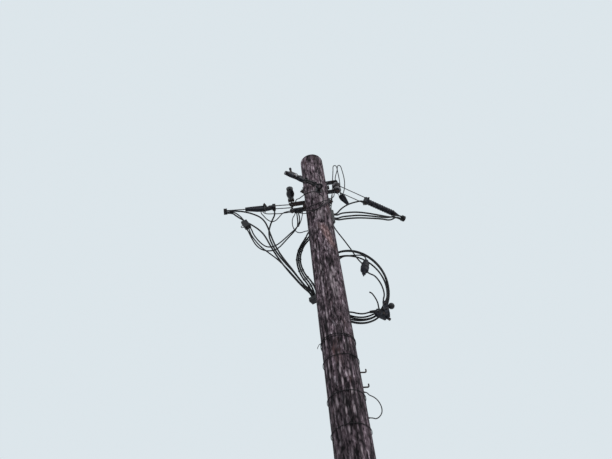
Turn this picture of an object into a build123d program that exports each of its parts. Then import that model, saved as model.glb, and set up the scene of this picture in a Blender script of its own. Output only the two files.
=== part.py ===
from build123d import *
from math import cos, radians, sin, sqrt, tan
import os

os.makedirs("parts", exist_ok=True)

# Millimetres. The origin is the middle of the pole at ground level, Z is up and X is to the right.
# The fittings keep their place at the pole's head, so each drop is a distance below its top.

# Pole
pole_height = 6250
top_diameter = 218
taper_per_metre = 9.1
top_edge_round = 8
seat_gap = 0.2
touch_gap = 0.3

# Bolts through the pole
bolt_diameter = 16
bolt_hole_diameter = 18
nut_width = 27
nut_thickness = 14
washer_width = 57
washer_thickness = 6
bolt_end = 12

# Unused hole that the pole was drilled with
spare_hole_drop = 1044
spare_hole_azimuth = -84
spare_hole_diameter = 18

# Eye bolt for the front left span
eye_bolt_drop = 605
eye_bolt_azimuth = -75
eye_inner_radius = 15
eye_rod_radius = 8
eye_boss_radius = 15
eye_boss_length = 20

# Strain clamp of the front left span
front_azimuth = -142
front_slope = 4
link_rod_radius = 5
link_length = 150
front_clamp_length = 185
front_clamp_width = 34

# D-iron on the right, with its spool
d_iron_drop = 512
d_iron_height = 146
d_iron_width = 42
d_iron_thickness = 7
d_iron_reach = 88
spool_diameter = 78
spool_height = 84
spool_groove_radius = 24

# Clevis on the left
clevis_drop = 705
clevis_height = 96
clevis_width = 44
clevis_thickness = 8
clevis_reach = 122
pin_diameter = 16

# Strand clamp of the left span
left_azimuth = -171
left_slope = 4
left_bail_rise = 69
left_bail_length = 150
left_yoke_length = 28
left_nose = 425
left_wrap_start = 588

# Strain insulator of the span towards the front
insulator_azimuth = -88
insulator_slope = 0
insulator_length = 130
insulator_diameter = 72
insulator_rod = 8

# Strand clamp of the right span
right_azimuth = 36
right_slope = 4
right_grip_length = 312
right_body_length = 390
right_body_radius = 26
right_rib_count = 11
right_rib_start = 58
right_strand_length = 33

# Drop clamp on the right
drop_azimuth = 62
drop_slope = 2
drop_bail_length = 62
drop_clamp_length = 128

# Lashing wraps at the outer ends
wrap_radius = 29
wrap_length = 30
strand_radius = 4.5
strand_rise = 14

# Cable cleats on the pole
right_cleat_azimuth = 31
right_cleat_drop = 878
right_cleat_height = 172
right_cleat_width = 40
right_cleat_depth = 32
left_cleat_azimuth = 155
left_cleat_drop = 1762
left_cleat_height = 36
left_cleat_width = 56
left_cleat_depth = 60

# Slack coil behind the pole and the hook that carries it
coil_front = 150
coil_depth = 50
coil_outer_place = (193.25, 1543)
coil_outer_radii = (285, 425)
coil_outer_tilt = 7
coil_inner_place = (195.6, 1527)
coil_inner_radii = (232, 329)
coil_inner_tilt = 15
coil_edge_round = 10
hook_rod_radius = 6
hook_angle = 100
hook_depth = 40
hook_lip = 45

# Small hooks low on the right
low_hook_azimuth = 10
low_hook_drops = (2479, 2593)
low_hook_rod_radius = 5
low_hook_reach = 40

# Fittings that hang on the cables and wires
bond_clip_length = 76
bond_clip_width = 40
bond_clip_height = 20
bond_clip_start = 140
connector_place = (-632, -122)
connector_drop = 950
connector_tilt = 23.6
connector_length = 92
connector_width = 54
connector_depth = 35
splitter_place = (282, 112)
splitter_drop = 1524
splitter_tilt = 15.5
splitter_radius = 32
tap_x = 352
tap_drop = 1928
tap_slope = 40
tap_length = 95
tap_height = 44
tap_depth = 44
tap_neck_radius = 11
tap_arm_rise = 38
tap_clamp_offset = 47
tap_clamp_width = 36
tap_clamp_rise = -20
tap_clamp_height = 130
ball_radius = 25
ball_rise = 67

# Tie wires round the pole
tie_wire_radius = 2
tie_drops = (2242, 2256, 2412, 2690, 2920)

# Heights that follow from the drops
spare_hole_height = pole_height - spare_hole_drop
eye_bolt_height = pole_height - eye_bolt_drop
d_iron_bottom = pole_height - d_iron_drop
d_iron_bolt_height = d_iron_bottom + d_iron_height / 2
clevis_bottom = pole_height - clevis_drop
clevis_bolt_height = clevis_bottom + clevis_height / 2
left_bail_height = clevis_bottom + left_bail_rise
insulator_bail_height = clevis_bottom + clevis_height + insulator_rod / 2 + touch_gap
right_cleat_bottom = pole_height - right_cleat_drop
left_cleat_bottom = pole_height - left_cleat_drop
coil_outer_middle = (coil_outer_place[0], pole_height - coil_outer_place[1])
coil_inner_middle = (coil_inner_place[0], pole_height - coil_inner_place[1])
low_hook_heights = [pole_height - drop for drop in low_hook_drops]
connector_middle = (*connector_place, pole_height - connector_drop)
splitter_foot = (*splitter_place, pole_height - splitter_drop)
tap_z = pole_height - tap_drop
tie_heights = [pole_height - drop for drop in tie_drops]


def pole_radius(height):
    return top_diameter / 2 + (pole_height - height) * taper_per_metre / 2000


def outward(azimuth, height, distance=0):
    """Plane facing away from the pole: Z points out, Y points up and X runs level."""
    c, s = cos(radians(azimuth)), sin(radians(azimuth))
    return Plane(origin=(distance * c, distance * s, height), x_dir=(-s, c, 0), z_dir=(c, s, 0))


def direction(azimuth, slope):
    c, s = cos(radians(azimuth)), sin(radians(azimuth))
    return Vector(c * cos(radians(slope)), s * cos(radians(slope)), -sin(radians(slope)))


def along(start, azimuth, slope, distance=0, rise=0):
    """Plane on a sloping line: X runs along the line, Y points up and Z points sideways."""
    run = direction(azimuth, slope)
    side = Vector(sin(radians(azimuth)), -cos(radians(azimuth)), 0)
    up = side.cross(run)
    return Plane(origin=Vector(*start) + run * distance + up * rise, x_dir=run, z_dir=side)


def across(start, azimuth, slope, distance=0, rise=0):
    """Plane square to a sloping line: Z runs along the line and Y points up."""
    side_plane = along(start, azimuth, slope, distance, rise)
    return Plane(origin=side_plane.origin, x_dir=-side_plane.z_dir, z_dir=side_plane.x_dir)


def flat_along(start, azimuth, slope, distance=0, rise=0):
    """Plane lying in a sloping line: X runs along the line and Z points up."""
    side_plane = along(start, azimuth, slope, distance, rise)
    return Plane(origin=side_plane.origin, x_dir=side_plane.x_dir, z_dir=side_plane.y_dir)


def pole_body(allowance=0, mode=Mode.ADD):
    """The pole's tapering round, a little larger where something is fitted to its surface."""
    foot, head = pole_radius(0) + allowance, pole_radius(pole_height) + allowance
    with BuildSketch(Plane.XZ) as half:
        with BuildLine():
            Polyline((0, 0), (foot, 0), (head, pole_height), (0, pole_height), close=True)
        make_face()
    revolve(half.sketch, axis=Axis.Z, mode=mode)


def round_bar(plane, radius, length, mode=Mode.ADD):
    with BuildSketch(plane) as end:
        Circle(radius)
    extrude(end.sketch, amount=length, mode=mode)


def on_ellipse(middle, radii, tilt, angle, inward=0):
    """X and Z of a point on a tilted ellipse, or of one a distance inside it."""
    c, s = cos(radians(angle)), sin(radians(angle))
    normal = Vector(c / radii[0], s / radii[1]).normalized()
    point = Vector(radii[0] * c, radii[1] * s) - normal * inward
    turned = point.rotate(Axis.Z, tilt)
    return middle[0] + turned.X, middle[1] + turned.Y


# Where the coil hook leaves the pole, just inside the coil's inner edge
hook_x, hook_z = on_ellipse(
    coil_inner_middle, coil_inner_radii, coil_inner_tilt, hook_angle, hook_rod_radius + touch_gap
)
hook_root = sqrt(pole_radius(hook_z) ** 2 - hook_x**2) - hook_depth

# Pole with its bolt holes and the holes of the driven hooks
with BuildPart() as pole_shaft:
    pole_body()
    fillet(pole_shaft.edges().filter_by(GeomType.CIRCLE).sort_by(Axis.Z)[-1], top_edge_round)
    coil_hook_hole = Plane(origin=(hook_x, hook_root - seat_gap, hook_z), z_dir=(0, 1, 0))
    round_bar(coil_hook_hole, hook_rod_radius + seat_gap, 2 * hook_depth + 60, Mode.SUBTRACT)
    for height in low_hook_heights:
        hole_root = outward(low_hook_azimuth, height, pole_radius(height) - hook_depth - seat_gap)
        round_bar(hole_root, low_hook_rod_radius + seat_gap, 2 * hook_depth, Mode.SUBTRACT)
    for azimuth, height, diameter in (
        (eye_bolt_azimuth, eye_bolt_height, bolt_hole_diameter),
        (0, d_iron_bolt_height, bolt_hole_diameter),
        (180, clevis_bolt_height, bolt_hole_diameter),
        (spare_hole_azimuth, spare_hole_height, spare_hole_diameter),
    ):
        with BuildSketch(outward(azimuth, height)):
            Circle(diameter / 2)
        extrude(amount=2 * pole_radius(height), both=True, mode=Mode.SUBTRACT)
pole_shaft.part.label = "pole_shaft"
export_step(pole_shaft.part, "parts/pole_shaft.step")

# Eye bolt: a forged ring on a boss at the front, and a threaded end at the back
eye_ring_radius = eye_inner_radius + eye_rod_radius
eye_seat = pole_radius(eye_bolt_height) + washer_thickness
eye_distance = eye_seat + eye_boss_length + eye_ring_radius
eye_run = outward(eye_bolt_azimuth, eye_bolt_height)
eye_middle = eye_run.origin + eye_run.z_dir * eye_distance
back_end = pole_radius(eye_bolt_height) + washer_thickness + nut_thickness + bolt_end
with BuildPart() as front_eye_bolt:
    round_bar(outward(eye_bolt_azimuth, eye_bolt_height, -back_end), bolt_diameter / 2, back_end + eye_seat)
    round_bar(outward(eye_bolt_azimuth, eye_bolt_height, eye_seat), eye_boss_radius, eye_boss_length)
    with Locations(eye_middle):
        Torus(eye_ring_radius, eye_rod_radius)
front_eye_bolt.part.label = "front_eye_bolt"
export_step(front_eye_bolt.part, "parts/front_eye_bolt.step")

# Bolts that hold the D-iron and the clevis, each with a square head on its bracket
with BuildPart() as bracket_bolts:
    for azimuth, height, plate in (
        (0, d_iron_bolt_height, d_iron_thickness),
        (180, clevis_bolt_height, clevis_thickness),
    ):
        head_seat = pole_radius(height) + plate
        far_end = pole_radius(height) + washer_thickness + nut_thickness + bolt_end
        round_bar(outward(azimuth, height, -far_end), bolt_diameter / 2, far_end + head_seat)
        with BuildSketch(outward(azimuth, height, head_seat)):
            Rectangle(nut_width, nut_width)
        extrude(amount=nut_thickness)
bracket_bolts.part.label = "bracket_bolts"
export_step(bracket_bolts.part, "parts/bracket_bolts.step")

# Curved washers and square nuts on the far side of each bolt, and a washer under the eye
washer_places = (
    (eye_bolt_azimuth, eye_bolt_height),
    (eye_bolt_azimuth + 180, eye_bolt_height),
    (180, d_iron_bolt_height),
    (0, clevis_bolt_height),
)
with BuildPart() as curved_washers:
    for azimuth, height in washer_places:
        inner = pole_radius(height) * cos(radians(20))
        with BuildSketch(outward(azimuth, height, inner)):
            RectangleRounded(washer_width, washer_width, 5)
            Circle(bolt_hole_diameter / 2, mode=Mode.SUBTRACT)
        extrude(amount=pole_radius(height) + washer_thickness - inner)
    pole_body(seat_gap, Mode.SUBTRACT)
curved_washers.part.label = "curved_washers"
export_step(curved_washers.part, "parts/curved_washers.step")

with BuildPart() as square_nuts:
    for azimuth, height in washer_places[1:]:
        with BuildSketch(outward(azimuth, height, pole_radius(height) + washer_thickness)):
            RectangleRounded(nut_width, nut_width, 2)
            Circle(bolt_diameter / 2, mode=Mode.SUBTRACT)
        extrude(amount=nut_thickness)
square_nuts.part.label = "square_nuts"
export_step(square_nuts.part, "parts/square_nuts.step")


def bracket(azimuth, bottom, height, width, thickness, reach, bolt_height):
    """A strap bent to a C, with rounded arm ends, holes for its pin and a back hollowed to the pole."""
    inner = pole_radius(bottom) * cos(radians(15))
    foot = pole_radius(bottom + height)
    upright = outward(azimuth, 0)
    with BuildSketch(Plane(origin=(0, 0, 0), x_dir=upright.z_dir, z_dir=-upright.x_dir)) as strap:
        with BuildLine():
            Polyline(
                (inner, bottom),
                (foot + reach + width / 2, bottom),
                (foot + reach + width / 2, bottom + thickness),
                (foot + thickness, bottom + thickness),
                (foot + thickness, bottom + height - thickness),
                (foot + reach + width / 2, bottom + height - thickness),
                (foot + reach + width / 2, bottom + height),
                (inner, bottom + height),
                close=True,
            )
        make_face()
    extrude(strap.sketch, amount=width / 2, both=True)
    pole_body(seat_gap, Mode.SUBTRACT)
    with BuildSketch(Plane.XY.offset(bottom)) as pin_hole:
        with Locations(upright.z_dir * (foot + reach)):
            Circle(pin_diameter / 2 + touch_gap)
    extrude(pin_hole.sketch, amount=height, mode=Mode.SUBTRACT)
    with BuildSketch(outward(azimuth, bolt_height)) as bolt_hole:
        Circle(bolt_hole_diameter / 2)
    extrude(bolt_hole.sketch, amount=2 * foot, mode=Mode.SUBTRACT)


# D-iron
with BuildPart() as right_d_iron:
    bracket(0, d_iron_bottom, d_iron_height, d_iron_width, d_iron_thickness, d_iron_reach, d_iron_bolt_height)
    corners = right_d_iron.edges().filter_by(Axis.Z).group_by(Axis.X)[-1]
    fillet(corners, d_iron_width / 2 - 1)
right_d_iron.part.label = "right_d_iron"
export_step(right_d_iron.part, "parts/right_d_iron.step")

# Spool, with a wide groove for the grip rods, standing on the lower arm
spool_x = pole_radius(d_iron_bottom + d_iron_height) + d_iron_reach
spool_foot = d_iron_bottom + d_iron_thickness
spool_waist = spool_foot + spool_height / 2
with BuildPart() as spool_insulator:
    with BuildSketch(Plane(origin=(spool_x, 0, spool_foot), x_dir=(1, 0, 0), z_dir=(0, -1, 0))):
        with BuildLine():
            rim = spool_diameter / 2
            hole = pin_diameter / 2 + touch_gap
            bottom_line = Line((hole, 0), (rim - 5, 0))
            lower_rim = RadiusArc((rim - 5, 0), (rim - 5, 14), -7.2)
            groove_in = Spline(
                (rim - 5, 14),
                (spool_groove_radius, spool_height / 2),
                (rim - 5, spool_height - 14),
                tangents=((-1, 0.9), (1, 0.9)),
            )
            upper_rim = RadiusArc((rim - 5, spool_height - 14), (rim - 5, spool_height), -7.2)
            Line((rim - 5, spool_height), (hole, spool_height))
            Line((hole, spool_height), (hole, 0))
        make_face()
    revolve(axis=Axis((spool_x, 0, 0), (0, 0, 1)))
spool_insulator.part.label = "spool_insulator"
export_step(spool_insulator.part, "parts/spool_insulator.step")

# Pins through the arms, with a head on top and a nut below
clevis_x = -(pole_radius(clevis_bottom + clevis_height) + clevis_reach)
drop_bail_rod = 6
drop_bail_drop = drop_bail_rod + 4 * touch_gap
with BuildPart() as bracket_pins:
    for x, bottom, top, hang in (
        (spool_x, d_iron_bottom, d_iron_bottom + d_iron_height, drop_bail_drop),
        (clevis_x, clevis_bottom, clevis_bottom + clevis_height + insulator_rod + 2 * touch_gap, 0),
    ):
        foot = bottom - hang
        pin_end = foot - nut_thickness - bolt_end
        round_bar(Plane(origin=(x, 0, pin_end), z_dir=(0, 0, 1)), pin_diameter / 2, top - pin_end)
        with BuildSketch(Plane.XY.offset(top)):
            with Locations((x, 0)):
                RegularPolygon(nut_width / 2, 6)
        extrude(amount=nut_thickness)
        with BuildSketch(Plane.XY.offset(foot - nut_thickness)):
            with Locations((x, 0)):
                Rectangle(nut_width, nut_width)
        extrude(amount=nut_thickness)
bracket_pins.part.label = "bracket_pins"
export_step(bracket_pins.part, "parts/bracket_pins.step")

# Clevis
with BuildPart() as left_clevis:
    bracket(180, clevis_bottom, clevis_height, clevis_width, clevis_thickness, clevis_reach, clevis_bolt_height)
    corners = left_clevis.edges().filter_by(Axis.Z).group_by(Axis.X)[0]
    fillet(corners, clevis_width / 2 - 1)
left_clevis.part.label = "left_clevis"
export_step(left_clevis.part, "parts/left_clevis.step")


def bail(start, azimuth, slope, length, half_width, rod, rise=0):
    """A rod bent round a pin at the start, with both legs running out to a flat end."""
    bend = half_width - rod / 2 - pin_diameter / 2 - touch_gap
    flat = flat_along(start, azimuth, slope, 0, rise)
    with BuildLine(flat) as route:
        Line((length, half_width), (bend, half_width))
        CenterArc((bend, 0), half_width, 90, 180)
        Line((bend, -half_width), (length, -half_width))
    with BuildSketch(Plane(origin=route.line @ 0, z_dir=route.line % 0)) as section:
        Circle(rod / 2)
    sweep(section.sketch, path=route.line)


def loop(plane, length, half_width, rod, mode=Mode.ADD):
    """A closed rod loop with round ends, lying in a plane and starting at its near end."""
    with BuildLine(plane) as route:
        Line((half_width, half_width), (length - half_width, half_width))
        CenterArc((length - half_width, 0), half_width, 90, -180)
        Line((length - half_width, -half_width), (half_width, -half_width))
        CenterArc((half_width, 0), half_width, -90, -180)
    with BuildSketch(Plane(origin=route.line @ 0, z_dir=route.line % 0)) as section:
        Circle(rod / 2)
    sweep(section.sketch, path=route.line, mode=mode)


def plate(plane, outline, width, mode=Mode.ADD):
    """A side outline given as points, made as thick as the piece is wide, about its own plane."""
    with BuildSketch(plane) as side:
        with BuildLine():
            Polyline(*outline, close=True)
        make_face()
    extrude(side.sketch, amount=width / 2, both=True, mode=mode)


def u_bolt(line, distance, half_width, low, high, rod):
    """A U-bolt under a clamp, its legs standing square to the line, with hexagon nuts."""
    section_plane = across(*line, distance)
    with BuildLine(section_plane) as route:
        Line((-half_width, high), (-half_width, low + half_width))
        CenterArc((0, low + half_width), half_width, 180, 180)
        Line((half_width, low + half_width), (half_width, high))
    with BuildSketch(Plane(origin=route.line @ 0, z_dir=route.line % 0)) as section:
        Circle(rod / 2)
    sweep(section.sketch, path=route.line)


# Lines of the four spans and of the drop, each from the middle of its own pin, eye or spool
left_line = ((clevis_x, 0, left_bail_height), left_azimuth, left_slope)
front_start = Vector(eye_middle) + direction(front_azimuth, 0) * eye_ring_radius
front_line = (tuple(front_start), front_azimuth, front_slope)
insulator_line = ((clevis_x, 0, insulator_bail_height), insulator_azimuth, insulator_slope)
right_line = ((spool_x, 0, spool_waist), right_azimuth, right_slope)
drop_line = ((spool_x, 0, d_iron_bottom - drop_bail_drop / 2), drop_azimuth, drop_slope)

# Rod bails round the pins, and the link through the eye
left_bail_rod = 9
link_half = eye_rod_radius + touch_gap + link_rod_radius
egg_near = 58
egg_half_width = 22
bail_set_back = pin_diameter / 2 + insulator_rod / 2 + touch_gap
far_loop = egg_near + insulator_length * 0.62
with BuildPart() as wire_bails:
    bail(*left_line, left_bail_length, 18, left_bail_rod)
    bail(*drop_line, drop_bail_length, 13, drop_bail_rod)
    loop(flat_along(*insulator_line, -bail_set_back), far_loop + bail_set_back, egg_half_width, insulator_rod)
    with BuildLine(along(*front_line)) as link_route:
        Line((link_length, link_half), (0, link_half))
        CenterArc((0, 0), link_half, 90, 180)
        Line((0, -link_half), (link_length, -link_half))
    with BuildSketch(Plane(origin=link_route.line @ 0, z_dir=link_route.line % 0)) as link_end:
        Circle(link_rod_radius)
    sweep(link_end.sketch, path=link_route.line)
wire_bails.part.label = "wire_bails"
export_step(wire_bails.part, "parts/wire_bails.step")

# Left span: yoke and jaw, and the keeper whose ears take the U-bolt
left_yoke_end = left_bail_length + left_yoke_length
saddle_start, saddle_end = 236, 262
saddle_middle = (saddle_start + saddle_end) / 2
jaw_width = 34
saddle_rod = 9
saddle_leg = jaw_width / 2 + saddle_rod / 2 + touch_gap
saddle_low = -49
ear_top = 20
ear_thickness = 10
with BuildPart() as left_clamp_jaw:
    with BuildSketch(across(*left_line, left_bail_length)):
        RectangleRounded(50, 56, 10)
    extrude(amount=left_yoke_length)
    plate(
        along(*left_line),
        (
            (left_yoke_end, -14),
            (saddle_start - 14, -24),
            (saddle_end, -32),
            (saddle_end + 60, -28),
            (left_nose - 40, -15),
            (left_nose, -9),
            (left_nose, -1),
            (saddle_start - 14, -1),
            (saddle_start - 30, 12),
            (left_yoke_end, 14),
        ),
        jaw_width,
    )
    round_bar(across(*left_line, left_yoke_end), strand_radius + touch_gap, left_nose, Mode.SUBTRACT)
left_clamp_jaw.part.label = "left_clamp_jaw"
export_step(left_clamp_jaw.part, "parts/left_clamp_jaw.step")

with BuildPart() as left_clamp_keeper:
    plate(
        along(*left_line),
        (
            (saddle_start - 8, 1),
            (left_nose, 1),
            (left_nose, 9),
            (left_nose - 60, 15),
            (saddle_end + 6, ear_top),
            (saddle_start - 8, ear_top),
        ),
        jaw_width - 6,
    )
    with BuildSketch(flat_along(*left_line, saddle_middle, ear_top - ear_thickness)) as ears:
        RectangleRounded(saddle_end - saddle_start, 2 * saddle_leg + 18, 5)
        with Locations((0, saddle_leg), (0, -saddle_leg)):
            Circle(saddle_rod / 2 + touch_gap, mode=Mode.SUBTRACT)
    extrude(ears.sketch, amount=ear_thickness)
    round_bar(across(*left_line, left_yoke_end), strand_radius + touch_gap, left_nose, Mode.SUBTRACT)
left_clamp_keeper.part.label = "left_clamp_keeper"
export_step(left_clamp_keeper.part, "parts/left_clamp_keeper.step")

# Front left span: a bolted strain clamp, with a tall screw on its raised middle
front_end = link_length + front_clamp_length
front_screw_place = front_end - 66
front_screw_height = 95
with BuildPart() as front_strain_clamp:
    plate(
        along(*front_line),
        (
            (link_length, -24),
            (link_length + 34, -24),
            (link_length + 60, -16),
            (front_end - 60, -16),
            (front_end, -6),
            (front_end, 4),
            (front_end - 54, 18),
            (front_end - 74, 30),
            (front_end - 118, 30),
            (front_end - 128, 14),
            (link_length + 50, 14),
            (link_length + 34, 24),
            (link_length, 24),
        ),
        front_clamp_width,
    )
    with BuildSketch(along(*front_line)) as eyelet:
        with Locations((link_length + 58, 0)):
            SlotOverall(30, 14)
    extrude(eyelet.sketch, amount=front_clamp_width, both=True, mode=Mode.SUBTRACT)
    round_bar(flat_along(*front_line, front_screw_place), 6, front_screw_height)
    round_bar(flat_along(*front_line, front_screw_place, front_screw_height - 14), 11, 14)
front_strain_clamp.part.label = "front_strain_clamp"
export_step(front_strain_clamp.part, "parts/front_strain_clamp.step")

# Strain insulator: an egg with a hole and a groove for its bail, and the same a quarter turn round
with BuildPart() as strain_insulator:
    with BuildSketch(along(*insulator_line, egg_near)):
        with BuildLine():
            waist = Spline(
                (0, 0),
                (insulator_length * 0.2, insulator_diameter * 0.4),
                (insulator_length * 0.5, insulator_diameter * 0.5),
                (insulator_length * 0.8, insulator_diameter * 0.4),
                (insulator_length, 0),
                tangents=((0, 1), (0, -1)),
            )
            Line((insulator_length, 0), (0, 0))
        make_face()
    revolve(axis=Axis(insulator_line[0], tuple(direction(insulator_azimuth, insulator_slope))))
    loop(
        flat_along(*insulator_line, -bail_set_back),
        far_loop + bail_set_back,
        egg_half_width,
        insulator_rod + 2 * touch_gap,
        Mode.SUBTRACT,
    )
    loop(
        along(*insulator_line, egg_near + insulator_length * 0.38),
        insulator_length,
        egg_half_width,
        insulator_rod + 4,
        Mode.SUBTRACT,
    )
strain_insulator.part.label = "strain_insulator"
export_step(strain_insulator.part, "parts/strain_insulator.step")

# Right span: grip rods looped round the spool, and a ribbed clamp with two bolts across its head
grip_rod = 8
cross_bolt_radius = 5
cross_bolt_places = (right_grip_length + 7, right_grip_length + 18)
with BuildPart() as right_grip_rods:
    turn_radius = spool_groove_radius + grip_rod / 2 + touch_gap + 2
    with BuildLine(flat_along(*right_line)) as route:
        Line((right_grip_length, turn_radius), (0, turn_radius))
        CenterArc((0, 0), turn_radius, 90, 180)
        Line((0, -turn_radius), (right_grip_length, -turn_radius))
    with BuildSketch(Plane(origin=route.line @ 0, z_dir=route.line % 0)) as section:
        Circle(grip_rod / 2)
    sweep(section.sketch, path=route.line)
right_grip_rods.part.label = "right_grip_rods"
export_step(right_grip_rods.part, "parts/right_grip_rods.step")

taper_start = right_body_length - 70
rib_radius = 4
rib_pitch = (taper_start - 2 - right_rib_start) / (right_rib_count - 1)
with BuildPart() as right_strand_clamp:
    with BuildSketch(along(*right_line, right_grip_length)):
        with BuildLine():
            Polyline(
                (0, 0),
                (0, turn_radius + grip_rod),
                (24, turn_radius + grip_rod),
                (44, right_body_radius),
                (taper_start, right_body_radius),
                (right_body_length, 9),
                (right_body_length, 0),
                close=True,
            )
        make_face()
        for rib in range(right_rib_count):
            with Locations((right_rib_start + rib * rib_pitch, right_body_radius - 1)):
                Circle(rib_radius)
    revolve(axis=Axis(right_line[0], tuple(direction(right_azimuth, right_slope))))
    for cross_plane in (flat_along(*right_line, cross_bolt_places[0]), along(*right_line, cross_bolt_places[1])):
        with BuildSketch(cross_plane) as cross_hole:
            Circle(cross_bolt_radius + seat_gap)
        extrude(cross_hole.sketch, amount=100, both=True, mode=Mode.SUBTRACT)
right_strand_clamp.part.label = "right_strand_clamp"
export_step(right_strand_clamp.part, "parts/right_strand_clamp.step")

# Bolts of the clamps: a U-bolt with nuts on the left, and two crossing bolts on the right
with BuildPart() as clamp_bolts:
    u_bolt(left_line, saddle_middle, saddle_leg, saddle_low, ear_top + 22, saddle_rod)
    for side in (-1, 1):
        with BuildSketch(flat_along(*left_line, saddle_middle, ear_top)) as saddle_nut:
            with Locations((0, side * saddle_leg)):
                RegularPolygon(9, 6)
        extrude(saddle_nut.sketch, amount=9)
    head_seat = turn_radius + grip_rod + seat_gap
    for cross_plane in (flat_along(*right_line, cross_bolt_places[0]), along(*right_line, cross_bolt_places[1])):
        with BuildSketch(cross_plane) as cross_bolt:
            Circle(cross_bolt_radius)
        extrude(cross_bolt.sketch, amount=head_seat + 12, both=True)
        for end in (head_seat, -head_seat - 9):
            with BuildSketch(cross_plane.offset(end)) as cross_head:
                RegularPolygon(9, 6)
            extrude(cross_head.sketch, amount=9)
clamp_bolts.part.label = "clamp_bolts"
export_step(clamp_bolts.part, "parts/clamp_bolts.step")

# Strands from the clamps to the lashing wraps, and the wraps round strand and cables
left_end = left_wrap_start + wrap_length
right_nose = right_grip_length + right_body_length
right_wrap_start = right_nose + right_strand_length
right_end = right_wrap_start + wrap_length
with BuildPart() as strand_ends:
    round_bar(across(*left_line, saddle_start - 10), strand_radius, left_end - saddle_start + 10)
    round_bar(across(*right_line, right_nose), strand_radius, right_end - right_nose)
strand_ends.part.label = "strand_ends"
export_step(strand_ends.part, "parts/strand_ends.step")

with BuildPart() as lashing_wraps:
    for line, start in ((left_line, left_wrap_start), (right_line, right_wrap_start)):
        round_bar(across(*line, start, -strand_rise), wrap_radius, wrap_length)
        round_bar(across(*line, start - 10), strand_radius + touch_gap, wrap_length + 20, Mode.SUBTRACT)
lashing_wraps.part.label = "lashing_wraps"
export_step(lashing_wraps.part, "parts/lashing_wraps.step")

# Drop clamp: a wedge-shaped shell on its own bail
with BuildPart() as drop_clamp:
    with BuildSketch(flat_along(*drop_line, drop_bail_length)):
        with BuildLine():
            Polyline((0, -24), (0, 24), (34, 28), (drop_clamp_length, 10), (drop_clamp_length, -10), (34, -28),
                     close=True)
        make_face()
    extrude(amount=13, both=True)
drop_clamp.part.label = "drop_clamp"
export_step(drop_clamp.part, "parts/drop_clamp.step")


def cleat(azimuth, bottom, height, width, depth):
    """A block on the pole's surface, hollowed to sit on it."""
    inner = pole_radius(bottom) * cos(radians(20))
    with BuildSketch(outward(azimuth, bottom + height / 2, inner)) as face:
        RectangleRounded(width, height, 6)
    extrude(face.sketch, amount=pole_radius(bottom) + depth - inner)
    pole_body(seat_gap, Mode.SUBTRACT)


# Cleats where the cables are held against the pole
with BuildPart() as cable_cleats:
    cleat(right_cleat_azimuth, right_cleat_bottom, right_cleat_height, right_cleat_width, right_cleat_depth)
    cleat(left_cleat_azimuth, left_cleat_bottom, left_cleat_height, left_cleat_width, left_cleat_depth)
cable_cleats.part.label = "cable_cleats"
export_step(cable_cleats.part, "parts/cable_cleats.step")

# Coil of slack cable: a flat ring that is wider at its top and foot than at its sides
coil_back = coil_front + coil_depth
coil_plane = Plane(origin=(0, coil_back, 0), x_dir=(1, 0, 0), z_dir=(0, -1, 0))
with BuildPart() as slack_coil:
    with BuildSketch(coil_plane):
        with Locations(Location(coil_outer_middle, coil_outer_tilt)):
            Ellipse(*coil_outer_radii)
        with Locations(Location(coil_inner_middle, coil_inner_tilt)):
            Ellipse(*coil_inner_radii, mode=Mode.SUBTRACT)
    extrude(amount=coil_depth)
    fillet(slack_coil.edges().filter_by(GeomType.ELLIPSE), coil_edge_round)
slack_coil.part.label = "slack_coil"
export_step(slack_coil.part, "parts/slack_coil.step")


def driven_hook(root, run, rod, length, lip):
    """A rod driven into the pole along a direction, with its end turned up."""
    root, run = Vector(*root), Vector(*run)
    bend = root + run * length
    with BuildLine() as route:
        FilletPolyline(root, bend, bend + Vector(0, 0, lip), radius=2 * rod)
    with BuildSketch(Plane(origin=root, z_dir=run)) as section:
        Circle(rod)
    sweep(section.sketch, path=route.line)


# Hook that carries the coil, and two small hooks low on the right
hook_run = outward(low_hook_azimuth, 0).z_dir
with BuildPart() as drive_hooks:
    hook_length = coil_back + hook_rod_radius + 3 - hook_root
    driven_hook((hook_x, hook_root, hook_z), (0, 1, 0), hook_rod_radius, hook_length, hook_lip)
    for height in low_hook_heights:
        root = hook_run * (pole_radius(height) - hook_depth) + Vector(0, 0, height)
        driven_hook(root, hook_run, low_hook_rod_radius, hook_depth + low_hook_reach, 24)
drive_hooks.part.label = "drive_hooks"
export_step(drive_hooks.part, "parts/drive_hooks.step")

# Clip under the clevis's lower arm, where the bond wires end
clip_middle = -(bond_clip_start + bond_clip_length / 2)
with BuildPart() as left_bond_clip:
    with BuildSketch(Plane.XY.offset(clevis_bottom - bond_clip_height)):
        with Locations((clip_middle, 0)):
            RectangleRounded(bond_clip_length, bond_clip_width, 5)
    extrude(amount=bond_clip_height - seat_gap)
left_bond_clip.part.label = "left_bond_clip"
export_step(left_bond_clip.part, "parts/left_bond_clip.step")

# Connector block in the left cables, with a small ring on its side
lean = radians(connector_tilt)
connector_plane = Plane(
    origin=connector_middle,
    x_dir=(cos(lean), 0, sin(lean)),
    z_dir=(sin(lean), 0, -cos(lean)),
)
with BuildPart() as connector_block:
    with BuildSketch(connector_plane):
        RectangleRounded(connector_width, connector_depth, 7)
    extrude(amount=connector_length / 2, both=True)
    ring_middle = connector_plane.from_local_coords((-connector_width / 2 - 8, 0, 6))
    with Locations(Location(ring_middle, (90, 0, 0))):
        Torus(13, 3)
connector_block.part.label = "connector_block"
export_step(connector_block.part, "parts/connector_block.step")

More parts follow.
